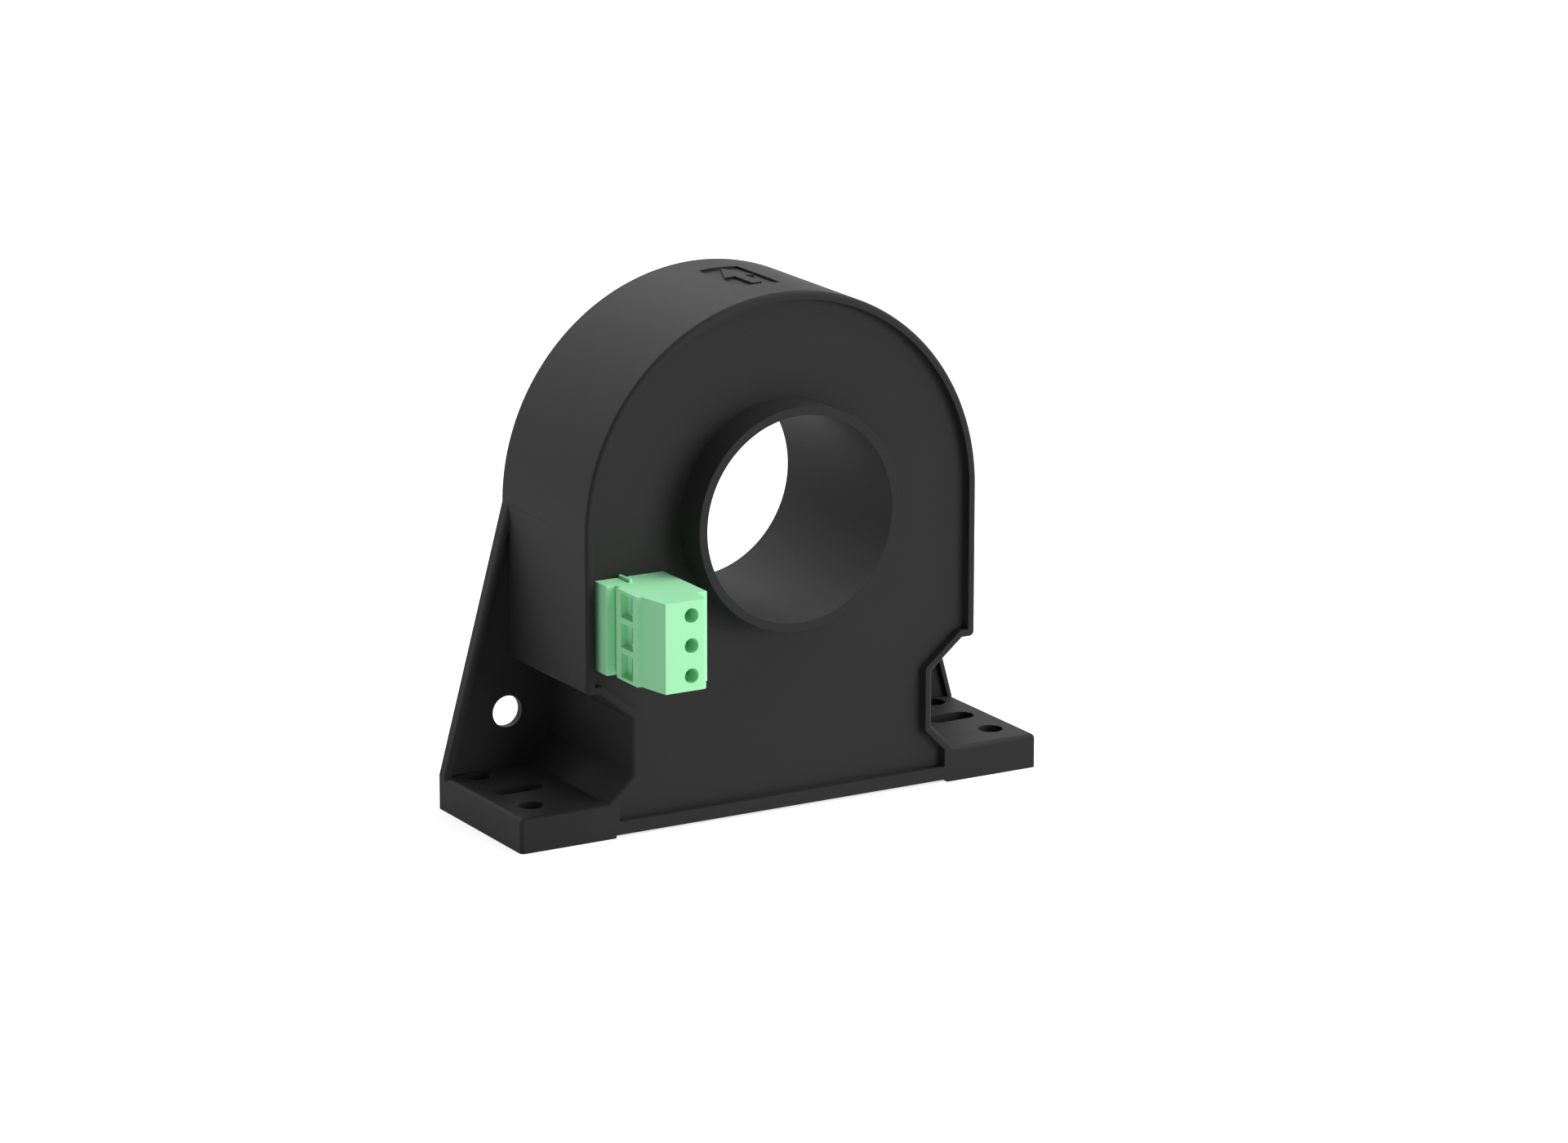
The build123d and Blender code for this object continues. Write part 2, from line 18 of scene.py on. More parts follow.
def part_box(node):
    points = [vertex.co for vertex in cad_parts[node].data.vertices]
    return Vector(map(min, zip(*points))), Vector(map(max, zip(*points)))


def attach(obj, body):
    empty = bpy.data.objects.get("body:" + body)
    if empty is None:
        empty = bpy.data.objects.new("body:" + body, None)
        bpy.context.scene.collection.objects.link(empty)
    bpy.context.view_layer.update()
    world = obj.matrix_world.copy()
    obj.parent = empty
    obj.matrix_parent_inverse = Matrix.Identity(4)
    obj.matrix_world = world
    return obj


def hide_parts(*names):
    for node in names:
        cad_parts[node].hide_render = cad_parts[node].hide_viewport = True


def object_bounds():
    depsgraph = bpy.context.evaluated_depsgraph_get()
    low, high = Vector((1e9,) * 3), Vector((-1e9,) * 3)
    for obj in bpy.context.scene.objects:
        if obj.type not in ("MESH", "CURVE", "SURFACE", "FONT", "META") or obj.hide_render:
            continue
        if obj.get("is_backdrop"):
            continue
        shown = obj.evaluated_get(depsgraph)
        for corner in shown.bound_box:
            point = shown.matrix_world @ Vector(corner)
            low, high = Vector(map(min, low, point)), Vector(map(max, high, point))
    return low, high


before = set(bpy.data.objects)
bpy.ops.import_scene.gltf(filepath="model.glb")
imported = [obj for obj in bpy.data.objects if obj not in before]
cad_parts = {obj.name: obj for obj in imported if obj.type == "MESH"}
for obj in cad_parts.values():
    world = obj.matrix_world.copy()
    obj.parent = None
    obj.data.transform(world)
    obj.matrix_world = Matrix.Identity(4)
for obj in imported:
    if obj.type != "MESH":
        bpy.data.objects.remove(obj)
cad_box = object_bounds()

MM = 0.001
MICRON = 0.001 * MM
AXIS = (0.0, 0.0)
POLES = (1, 2, 3)
WHITE = (1, 1, 1, 1)
# Facets across a rounded edge, and the profile that makes it a quarter circle.
ROUND_STEPS = 5
ROUND_PROFILE = 0.5
# Faces that turn by less than this are one flat face.
FLAT_ANGLE = math.radians(1)
# Nearly all of a noise factor lies between these two.
NOISE_LOW, NOISE_HIGH = 0.25, 0.75
# A wave texture of scale one repeats at this distance.
WAVE_REPEAT = math.pi / 10
# Sides of a turn of wire, of a screw's shank and of the ridge of its thread.
WIRE_SIDES = 5
THREAD_SIDES = 32
RIDGE_SIDES = 4
log = logging.getLogger("sensor_looks")

Point = tuple[float, float]
Colour = tuple[int, int, int]
Solid = bpy.types.Object
Socket = bpy.types.NodeSocket
Material = bpy.types.Material


class Side(Enum):
    """The two mirror halves of the housing."""

    LEFT = -1
    RIGHT = 1


class Run(Enum):
    """Axis along which a soldered part runs from its leads through its body."""

    WIDTH = "X"
    DEPTH = "Y"


class End(Enum):
    """End of a soldered part at which its body lies, along the depth."""

    FRONT = "front"
    BACK = "back"


class Cut(Enum):
    """Ways in which one mesh changes another."""

    ADD = "UNION"
    REMOVE = "DIFFERENCE"


class Across(Enum):
    """Direction along which an outline is drawn out into a solid."""

    DEPTH = "y"
    HEIGHT = "z"

    def place(self, point: Point, level: float) -> Vector:
        """Put a corner of the outline at one level of this direction."""
        x, other = point
        return Vector((x, level, other) if self is Across.DEPTH else (x, other, level))


# Meshes


def circle_points(x: float, z: float, radius: float, steps: int) -> list[Point]:
    """Corners of a regular polygon that stands for a circle.

    Args:
        x: Centre, first coordinate.
        z: Centre, second coordinate.
        radius: Radius of the circle.
        steps: Number of corners.

    Returns:
        The corners, counter-clockwise.
    """
    turn = 2 * math.pi / steps
    return [
        (x + radius * math.cos(i * turn), z + radius * math.sin(i * turn)) for i in range(steps)
    ]


def rounded(points: Sequence[Point], radii: dict[int, float], steps: int = 6) -> list[Point]:
    """Round chosen corners of an outline.

    Args:
        points: Corners of the outline.
        radii: Radius for each corner to round, by its place in the outline.
        steps: Number of chords in each rounding.

    Returns:
        The outline with arcs in place of those corners.
    """
    out: list[Point] = []
    count = len(points)
    for i, corner in enumerate(points):
        if i not in radii:
            out.append(corner)
            continue
        here = Vector(corner)
        before = (Vector(points[i - 1]) - here).normalized()
        after = (Vector(points[(i + 1) % count]) - here).normalized()
        half = before.angle(after) / 2
        centre = here + (before + after).normalized() * radii[i] / math.sin(half)
        start = here + before * radii[i] / math.tan(half) - centre
        end = here + after * radii[i] / math.tan(half) - centre
        sweep = start.angle_signed(end)
        for step in range(steps + 1):
            spun = Matrix.Rotation(-sweep * step / steps, 2) @ start
            out.append(tuple(centre + spun))
    return out


def inset(points: Sequence[Point], distance: float) -> list[Point]:
    """Move every edge of a counter-clockwise outline inwards.

    Args:
        points: Corners of the outline.
        distance: How far each edge moves.

    Returns:
        The smaller outline, with as many corners.
    """
    out: list[Point] = []
    count = len(points)
    for i in range(count):
        a, b, c = (Vector(points[(i + j) % count]) for j in (-1, 0, 1))
        first, second = (b - a).normalized(), (c - b).normalized()
        normals = [Vector((-d.y, d.x)) for d in (first, second)]
        middle = (normals[0] + normals[1]) / (1 + normals[0].dot(normals[1]))
        out.append(tuple(b + middle * distance))
    return out


def drawn_out(points: Sequence[Point], low: float, high: float,
              across: Across) -> tuple[bmesh.types.BMesh, list[bmesh.types.BMVert]]:
    """Draw an outline out into a closed mesh.

    Args:
        points: Outline as (x, z) for a solid along the depth, or (x, y) for one along the height.
        low: Lower end of the solid.
        high: Upper end of the solid.
        across: Direction of the solid.

    Returns:
        The mesh, and its corners at the lower end.
    """
    bm = bmesh.new()
    near, far = (
        [bm.verts.new(across.place(point, level)) for point in points] for level in (low, high)
    )
    bm.faces.new(near)
    bm.faces.new(list(reversed(far)))
    for i in range(len(points)):
        j = (i + 1) % len(points)
        bm.faces.new((near[j], near[i], far[i], far[j]))
    bmesh.ops.recalc_face_normals(bm, faces=bm.faces)
    return bm, near


def round_edges(bm: bmesh.types.BMesh, edges: list[bmesh.types.BMEdge], reach: float) -> None:
    """Round chosen edges of a mesh, up to a reach from each of them."""
    bmesh.ops.bevel(bm, geom=edges, offset=reach, offset_type="OFFSET", segments=ROUND_STEPS,
                    profile=ROUND_PROFILE, affect="EDGES", clamp_overlap=False)


def make_object(name: str, bm: bmesh.types.BMesh) -> Solid:
    """Turn a bmesh into an object at the origin of the scene and free it.

    Args:
        name: Name of the new object.
        bm: Mesh that it gets.

    Returns:
        The new object.
    """
    mesh = bpy.data.meshes.new(name)
    bm.to_mesh(mesh)
    bm.free()
    obj = bpy.data.objects.new(name, mesh)
    bpy.context.scene.collection.objects.link(obj)
    return obj


def prism(name: str, points: Sequence[Point], low: float, high: float,
          across: Across = Across.DEPTH) -> Solid:
    """Draw an outline out into an object, between a lower and an upper end."""
    return make_object(name, drawn_out(points, low, high, across)[0])


def block(name: str, low: Sequence[float], high: Sequence[float]) -> Solid:
    """Make a box between its lowest and its highest corner."""
    outline = [(low[0], low[2]), (high[0], low[2]), (high[0], high[2]), (low[0], high[2])]
    return prism(name, outline, low[1], high[1])


def settle(obj: Solid) -> Solid:
    """Turn the result of an object's modifiers into its own plain mesh.

    Args:
        obj: Object with modifiers.

    Returns:
        The same object, without them.
    """
    graph = bpy.context.evaluated_depsgraph_get()
    mesh = bpy.data.meshes.new_from_object(obj.evaluated_get(graph), depsgraph=graph)
    old = obj.data
    obj.modifiers.clear()
    obj.data = mesh
    if old.users == 0:
        bpy.data.meshes.remove(old)
    return obj


def carve(target: Solid, tool: Solid, cut: Cut = Cut.REMOVE) -> Solid:
    """Cut a tool out of a solid or join it on, and delete the tool.

    Args:
        target: Solid that changes.
        tool: Solid that changes it.
        cut: What happens between them.

    Returns:
        The changed solid.
    """
    change = target.modifiers.new("change", "BOOLEAN")
    change.operation = cut.value
    change.solver = "EXACT"
    change.object = tool
    settle(target)
    bpy.data.objects.remove(tool)
    return target


def mend(obj: Solid) -> Solid:
    """Merge corners that lie within a micron of each other and drop the slivers between them.

    Args:
        obj: Solid to mend.

    Returns:
        The same object.
    """
    bm = bmesh.new()
    bm.from_mesh(obj.data)
    bmesh.ops.remove_doubles(bm, verts=bm.verts, dist=MICRON)
    bmesh.ops.dissolve_degenerate(bm, edges=bm.edges, dist=MICRON)
    bm.to_mesh(obj.data)
    bm.free()
    return obj


def soften(obj: Solid, width: float, segments: int = 2, angle: float = 40.0) -> Solid:
    """Round the sharp edges of a solid a little.

    Args:
        obj: Solid to soften.
        width: Width of the rounding.
        segments: Facets across it.
        angle: Smallest angle, in degrees, at which an edge counts as sharp.

    Returns:
        The same object.
    """
    bevel = obj.modifiers.new("soften", "BEVEL")
    bevel.width = width
    bevel.segments = segments
    bevel.limit_method = "ANGLE"
    bevel.angle_limit = math.radians(angle)
    return settle(obj)


def shade(obj: Solid, angle: float = 32.0) -> Solid:
    """Shade an object smooth, with sharp edges above an angle, and keep its flat faces flat.

    Args:
        obj: Solid to shade.
        angle: Smallest angle, in degrees, at which an edge stays sharp.

    Returns:
        The same object.
    """
    mesh = obj.data
    mesh.polygons.foreach_set("use_smooth", [True] * len(mesh.polygons))
    mesh.set_sharp_from_angle(angle=math.radians(angle))
    mesh.update()
    weigh = obj.modifiers.new("weigh", "WEIGHTED_NORMAL")
    weigh.keep_sharp = True
    return settle(obj)


def merged_copy(node: str, name: str) -> Solid:
    """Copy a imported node's mesh, with its loose triangles joined into faces.

    Args:
        node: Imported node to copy.
        name: Name of the new object.

    Returns:
        The new object.
    """
    bm = bmesh.new()
    bm.from_mesh(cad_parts[node].data)
    bmesh.ops.remove_doubles(bm, verts=bm.verts, dist=0.1 * MICRON)
    bmesh.ops.dissolve_limit(bm, angle_limit=FLAT_ANGLE, verts=bm.verts, edges=bm.edges)
    return make_object(name, bm)


# Finishes


class NodeSheet:
    """A material's node tree, with short calls for the nodes that the finishes share."""

    def __init__(self, name: str) -> None:
        """Make a material with one Principled shader.

        Args:
            name: Name of the material.
        """
        self.material = bpy.data.materials.new(name)
        self.material.use_nodes = True
        self.tree = self.material.node_tree
        self.shader = self.tree.nodes["Principled BSDF"]
        self.place = self.add("ShaderNodeTexCoord").outputs["Object"]

    def add(self, kind: str, **values: object) -> bpy.types.Node:
        """Add a node.

        Args:
            kind: Type name of the node.
            **values: Properties to set on it.

        Returns:
            The new node.
        """
        node = self.tree.nodes.new(kind)
        for key, value in values.items():
            setattr(node, key, value)
        return node

    def link(self, source: Socket, target: Socket) -> None:
        """Join two sockets."""
        self.tree.links.new(source, target)

    def noise(self, size: float, detail: float = 3.0, place: Socket | None = None) -> Socket:
        """Noise over the piece.

        Args:
            size: Size of its patches, in metres.
            detail: Levels of finer noise in it.
            place: Coordinates that it reads, where they aren't the piece's own.

        Returns:
            The factor, about 0.5 on average.
        """
        node = self.add("ShaderNodeTexNoise")
        node.inputs["Scale"].default_value = 1 / size
        node.inputs["Detail"].default_value = detail
        self.link(self.place if place is None else place, node.inputs["Vector"])
        return node.outputs["Fac"]

    def spread(self, factor: Socket, low: float, high: float,
               start: float = NOISE_LOW, end: float = NOISE_HIGH) -> Socket:
        """Map a stretch of a factor onto a range of values.

        Args:
            factor: Factor to map.
            low: Value at the start of the stretch.
            high: Value at its end.
            start: Start of the stretch.
            end: End of the stretch.

        Returns:
            The value.
        """
        node = self.add("ShaderNodeMapRange")
        ends = {"From Min": start, "From Max": end, "To Min": low, "To Max": high}
        for key, value in ends.items():
            node.inputs[key].default_value = value
        self.link(factor, node.inputs["Value"])
        return node.outputs["Result"]

    def blend(self, factor: Socket, dark: Sequence[float] | Socket,
              light: Sequence[float] | Socket) -> Socket:
        """Blend two colours by a factor.

        Args:
            factor: Zero gives the first colour and one the second.
            dark: First colour, or a socket that gives it.
            light: Second colour, or a socket that gives it.

        Returns:
            The blended colour.
        """
        mix = self.add("ShaderNodeMix", data_type="RGBA")
        sockets = {socket.identifier: socket for socket in mix.inputs}
        self.link(factor, sockets["Factor_Float"])
        for key, colour in (("A_Color", dark), ("B_Color", light)):
            if isinstance(colour, Socket):
                self.link(colour, sockets[key])
            else:
                sockets[key].default_value = (*colour, 1)
        return {socket.identifier: socket for socket in mix.outputs}["Result_Color"]

    def tint(self, factor: Socket, dark: Sequence[float] | Socket,
             light: Sequence[float] | Socket) -> None:
        """Colour the shader between two colours by a factor."""
        self.link(self.blend(factor, dark, light), self.shader.inputs["Base Color"])

    def roughen(self, factor: Socket, level: float, swing: float) -> None:
        """Vary the shader's roughness about a level by a factor."""
        rough = self.spread(factor, level - swing, level + swing)
        self.link(rough, self.shader.inputs["Roughness"])

    def relief(self, height: Socket, depth: float) -> None:
        """Raise the surface.

        Args:
            height: Height from zero to one.
            depth: What a height of one stands for, in metres.
        """
        bump = self.add("ShaderNodeBump")
        bump.inputs["Distance"].default_value = depth
        self.link(height, bump.inputs["Height"])
        self.link(bump.outputs["Normal"], self.shader.inputs["Normal"])


def linear(colour: Sequence[float]) -> tuple[float, float, float]:
    """Turn a colour of 0 to 255, as a screen shows it, into linear light."""
    parts = [c / 255 for c in colour]
    return tuple(c / 12.92 if c <= 0.04045 else ((c + 0.055) / 1.055) ** 2.4 for c in parts)


def shades(colour: Colour, darker: float, lighter: float) -> tuple[list[float], list[float]]:
    """Shades of a screen colour that lose and gain a part of its light, in linear light."""
    base = linear(colour)
    return [c * (1 - darker) for c in base], [min(1.0, c * (1 + lighter)) for c in base]


@dataclass(frozen=True)
class Finish:
    """Look of a surface about one main colour. Each kind of finish paints its own nodes."""

    name: str
    colour: Colour

    def material(self) -> Material:
        """Build the material.

        Returns:
            The new material.
        """
        sheet = NodeSheet(self.name)
        self.paint(sheet)
        return sheet.material

    def paint(self, sheet: NodeSheet) -> None:
        """Add the nodes of this kind of finish to a sheet."""
        raise NotImplementedError(self.name)


@dataclass(frozen=True)
class MouldedPlastic(Finish):
    """Plastic straight from a mould, with a fine spark-eroded grain."""

    shift: float = 0.04
    roughness: float = 0.5
    roughness_swing: float = 0.06
    grain: float = 0.16 * MM
    grain_detail: float = 2.0
    grain_depth: float = 4 * MICRON
    patch: float = 7 * MM
    patch_detail: float = 4.0
    specular: float = 0.5

    def paint(self, sheet: NodeSheet) -> None:
        """Add faint patches of colour and the grain.

        Args:
            sheet: Sheet that gets them.
        """
        patches = sheet.noise(self.patch, self.patch_detail)
        sheet.tint(patches, *shades(self.colour, self.shift, self.shift))
        fine = sheet.noise(self.grain, self.grain_detail)
        sheet.roughen(fine, self.roughness, self.roughness_swing)
        sheet.shader.inputs["Specular IOR Level"].default_value = self.specular
        sheet.relief(fine, self.grain_depth)


@dataclass(frozen=True)
class WorkedMetal(Finish):
    """Bare or plated metal with faint drawing marks."""

    roughness: float = 0.3
    roughness_swing: float = 0.08
    darker: float = 0.08
    lighter: float = 0.05
    patch: float = 3.6 * MM
    mark: float = 0.12 * MM
    mark_stretch: float = 14.0
    mark_detail: float = 2.0
    mark_depth: float = 2 * MICRON

    def paint(self, sheet: NodeSheet) -> None:
        """Add faint patches of colour and the marks, stretched along the depth.

        Args:
            sheet: Sheet that gets them.
        """
        sheet.tint(sheet.noise(self.patch), *shades(self.colour, self.darker, self.lighter))
        mapping = sheet.add("ShaderNodeMapping")
        mapping.inputs["Scale"].default_value = (1, 1 / self.mark_stretch, 1)
        sheet.link(sheet.place, mapping.inputs["Vector"])
        marks = sheet.noise(self.mark, self.mark_detail, mapping.outputs["Vector"])
        sheet.roughen(marks, self.roughness, self.roughness_swing)
        sheet.shader.inputs["Metallic"].default_value = 1.0
        sheet.relief(marks, self.mark_depth)


@dataclass(frozen=True)
class BoardLaminate(Finish):
    """Lacquered glass-fibre laminate, its weave just showing."""

    weave: float = 0.4712 * MM
    darker: float = 0.2
    lighter: float = 0.1
    roughness: float = 0.35
    weave_depth: float = 10 * MICRON

    def paint(self, sheet: NodeSheet) -> None:
        """Add the weave, as two crossing waves.

        Args:
            sheet: Sheet that gets them.
        """
        crossing = sheet.add("ShaderNodeMath", operation="MULTIPLY")
        for direction, socket in zip(("X", "Z"), crossing.inputs):
            wave = sheet.add("ShaderNodeTexWave", bands_direction=direction)
            wave.inputs["Scale"].default_value = WAVE_REPEAT / self.weave
            sheet.link(sheet.place, wave.inputs["Vector"])
            sheet.link(wave.outputs["Fac"], socket)
        weave = crossing.outputs["Value"]
        sheet.tint(weave, *shades(self.colour, self.darker, self.lighter))
        sheet.shader.inputs["Roughness"].default_value = self.roughness
        sheet.relief(weave, self.weave_depth)


@dataclass(frozen=True)
class WoundStrip(Finish):
    """Magnetic strip wound into a ring about the bore axis, its edges showing on the flat sides."""

    strip: float = 0.3 * MM
    waviness: float = 0.4
    darker: float = 0.3
    lighter: float = 0.1
    roughness: float = 0.42
    edge_depth: float = 20 * MICRON

    def paint(self, sheet: NodeSheet) -> None:
        """Add the edges of the strip, as rings about the bore axis.

        Args:
            sheet: Sheet that gets them.
        """
        rings = sheet.add("ShaderNodeTexWave", wave_type="RINGS", rings_direction="Y")
        rings.inputs["Scale"].default_value = WAVE_REPEAT / self.strip
        rings.inputs["Distortion"].default_value = self.waviness
        sheet.link(sheet.place, rings.inputs["Vector"])
        sheet.tint(rings.outputs["Fac"], *shades(self.colour, self.darker, self.lighter))
        sheet.shader.inputs["Metallic"].default_value = 1.0
        sheet.shader.inputs["Roughness"].default_value = self.roughness
        sheet.relief(rings.outputs["Fac"], self.edge_depth)


@dataclass(frozen=True)
class Band:
    """One painted ring or stripe on a part's body."""

    offset: float
    width: float
    colour: Colour


@dataclass(frozen=True)
class LeadedPart(Finish):
    """Body of an electronic part between bare metal leads, told apart by place along one axis."""

    run: Run
    middle: float
    half: float
    bands: tuple[Band, ...] = ()
    shift: float = 0.1
    body_metal: float = 0.0
    body_roughness: float = 0.4
    roughness_swing: float = 0.05
    lead: Colour = (206, 204, 196)
    lead_metal: float = 1.0
    lead_roughness: float = 0.28
    patch: float = 1.5 * MM

    def paint(self, sheet: NodeSheet) -> None:
        """Add the body with its bands, and the leads beside it.

        Args:
            sheet: Sheet that gets them.
        """
        parts = sheet.add("ShaderNodeSeparateXYZ")
        sheet.link(sheet.place, parts.inputs["Vector"])
        along = parts.outputs[self.run.value]
        colour = self.painted(sheet, along)
        on_body = self.within(sheet, along, self.middle, self.half)
        sheet.tint(on_body, linear(self.lead), colour)
        metallic = sheet.shader.inputs["Metallic"]
        if self.body_metal == self.lead_metal:
            metallic.default_value = self.body_metal
        else:
            sheet.link(sheet.spread(on_body, self.lead_metal, self.body_metal, 0, 1), metallic)
        level = sheet.spread(on_body, self.lead_roughness, self.body_roughness, 0, 1)
        swing = sheet.spread(sheet.noise(self.patch), -self.roughness_swing, self.roughness_swing)
        rough = sheet.add("ShaderNodeMath", operation="ADD")
        for source, socket in zip((level, swing), rough.inputs):
            sheet.link(source, socket)
        sheet.link(rough.outputs["Value"], sheet.shader.inputs["Roughness"])

    def painted(self, sheet: NodeSheet, along: Socket) -> Socket:
        """Colour of the body with its bands.

        Args:
            sheet: Sheet of the material.
            along: Place along the part.

        Returns:
            The colour.
        """
        colour = sheet.blend(sheet.noise(self.patch), *shades(self.colour, self.shift, self.shift))
        for band in self.bands:
            here = self.within(sheet, along, self.middle + band.offset, band.width / 2)
            colour = sheet.blend(here, colour, linear(band.colour))
        return colour

    def within(self, sheet: NodeSheet, along: Socket, middle: float, half: float) -> Socket:
        """One inside a stretch of the axis and zero outside it.

        Args:
            sheet: Sheet of the material.
            along: Place along the part.
            middle: Middle of the stretch.
            half: Half its length.

        Returns:
            The factor.
        """
        test = sheet.add("ShaderNodeMath", operation="COMPARE")
        sheet.link(along, test.inputs[0])
        test.inputs[1].default_value = middle
        test.inputs[2].default_value = half
        return test.outputs["Value"]


BLACK_MOULDING = MouldedPlastic("black_moulding", (42, 42, 42), roughness=0.55, specular=0.08)
POTTING_RESIN = MouldedPlastic("potting_resin", (42, 42, 42), roughness=0.48, grain=0.6 * MM,
                               grain_depth=2 * MICRON, patch=11 * MM, specular=0.08)
GREEN_TERMINAL = MouldedPlastic("green_terminal", (164, 238, 183), shift=0.02, roughness=0.6,
                                specular=0.15)
NATURAL_CASE = MouldedPlastic("natural_case", (214, 208, 190))
WINDING_COPPER = WorkedMetal("lacquered_copper", (196, 110, 62), roughness=0.26)
TINNED_METAL = WorkedMetal("tinned_contact", (206, 202, 190), roughness=0.28)
PLATED_STEEL = WorkedMetal("plated_steel", (190, 190, 188), roughness=0.33)
CORE_STRIP = WoundStrip("core_strip", (132, 132, 138))
BOARD_GREEN = BoardLaminate("board_laminate", (24, 92, 52))


class Wardrobe:
    """Makes each material once and puts it on pieces."""

    def __init__(self) -> None:
        """Start with no materials."""
        self.made: dict[str, Material] = {}

    def material(self, finish: Finish) -> Material:
        """Look up the material of a finish, made on its first use.

        Args:
            finish: Finish to look up.

        Returns:
            Its material.
        """
        if finish.name not in self.made:
            self.made[finish.name] = finish.material()
        return self.made[finish.name]

    def show(self, obj: Solid, finish: Finish, node: str, body: str, slot: str) -> None:
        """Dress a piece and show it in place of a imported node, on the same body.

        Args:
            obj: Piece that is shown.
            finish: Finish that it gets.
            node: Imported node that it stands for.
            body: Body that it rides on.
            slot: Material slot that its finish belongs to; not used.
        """
        obj.data.materials.clear()
        obj.data.materials.append(self.material(finish))
        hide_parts(node)
        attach(obj, body)
        log.info("%s stands in for %s: %d faces", obj.name, node, len(obj.data.polygons))

    def dress_node(self, node: str, finish: Finish) -> None:
        """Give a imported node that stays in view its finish.

        Args:
            node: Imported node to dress.
            finish: Finish that it gets.
        """
        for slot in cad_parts[node].material_slots:
            slot.material = self.material(finish)
        log.info("%s keeps its packed shape, in %s", node, finish.name)


# Geometry Nodes


class GrowingTree:
    """A Geometry Nodes tree with named inputs, which adds its growth to the mesh it is given."""

    def __init__(self, name: str, inputs: dict[str, str]) -> None:
        """Start the tree.

        Args:
            name: Name of the tree.
            inputs: Type of each named input, as Float, Int or Material.
        """
        self.tree = bpy.data.node_groups.new(name, "GeometryNodeTree")
        sockets = self.tree.interface
        self.keys: dict[str, str] = {}
        sockets.new_socket("Geometry", in_out="INPUT", socket_type="NodeSocketGeometry")
        for label, kind in {**inputs, "Finish": "Material"}.items():
            socket = sockets.new_socket(label, in_out="INPUT", socket_type=f"NodeSocket{kind}")
            self.keys[label] = socket.identifier
        sockets.new_socket("Geometry", in_out="OUTPUT", socket_type="NodeSocketGeometry")
        self.given = self.tree.nodes.new("NodeGroupInput").outputs

    def add(self, kind: str, feeds: dict[str | int, object] | None = None,
            **values: object) -> bpy.types.Node:
        """Add a node.

        Args:
            kind: Type name of the node.
            feeds: What goes into its inputs, by their name or number: a socket or a plain value.
            **values: Properties to set on it.

        Returns:
            The new node.
        """
        node = self.tree.nodes.new(kind)
        for key, value in values.items():
            setattr(node, key, value)
        for key, feed in (feeds or {}).items():
            if isinstance(feed, Socket):
                self.tree.links.new(feed, node.inputs[key])
            else:
                node.inputs[key].default_value = feed
        return node

    def number(self, operation: str, *values: Socket | float) -> Socket:
        """Work out a number from sockets or plain numbers, by the name of the operation."""
        feeds = dict(enumerate(values))
        return self.add("ShaderNodeMath", feeds, operation=operation).outputs["Value"]

    def vector(self, **parts: Socket) -> Socket:
        """Make a vector of its X, Y and Z, where a missing one is zero."""
        return self.add("ShaderNodeCombineXYZ", parts).outputs["Vector"]

    def moved(self, geometry: Socket, **change: object) -> Socket:
        """Place geometry by its Translation and Rotation."""
        placing = self.add("GeometryNodeTransform", {"Geometry": geometry, **change})
        return placing.outputs["Geometry"]

    def joined(self, *parts: Socket) -> Socket:
        """Join geometry.

        Args:
            *parts: Geometry to join.

        Returns:
            All of it.
        """
        join = self.add("GeometryNodeJoinGeometry")
        for part in parts:
            self.tree.links.new(part, join.inputs["Geometry"])
        return join.outputs["Geometry"]

    def close(self, growth: Socket) -> None:
        """End the tree: the growth joins the given mesh, as real faces in the finish.

        Args:
            growth: Geometry that the tree made.
        """
        everything = self.joined(growth, self.given["Geometry"])
        real = self.add("GeometryNodeRealizeInstances", {"Geometry": everything})
        dressed = self.add("GeometryNodeSetMaterial", {
            "Geometry": real.outputs["Geometry"], "Material": self.given["Finish"]})
        end = self.tree.nodes.new("NodeGroupOutput")
        self.tree.links.new(dressed.outputs["Geometry"], end.inputs["Geometry"])

    def grow_on(self, obj: Solid, sizes: dict[str, object]) -> None:
        """Run the tree on an object and keep the result as its plain mesh.

        Args:
            obj: Object that the growth is added to.
            sizes: Value of each named input.
        """
        growth = obj.modifiers.new("growth", "NODES")
        growth.node_group = self.tree
        for label, value in sizes.items():
            growth[self.keys[label]] = value
        settle(obj)


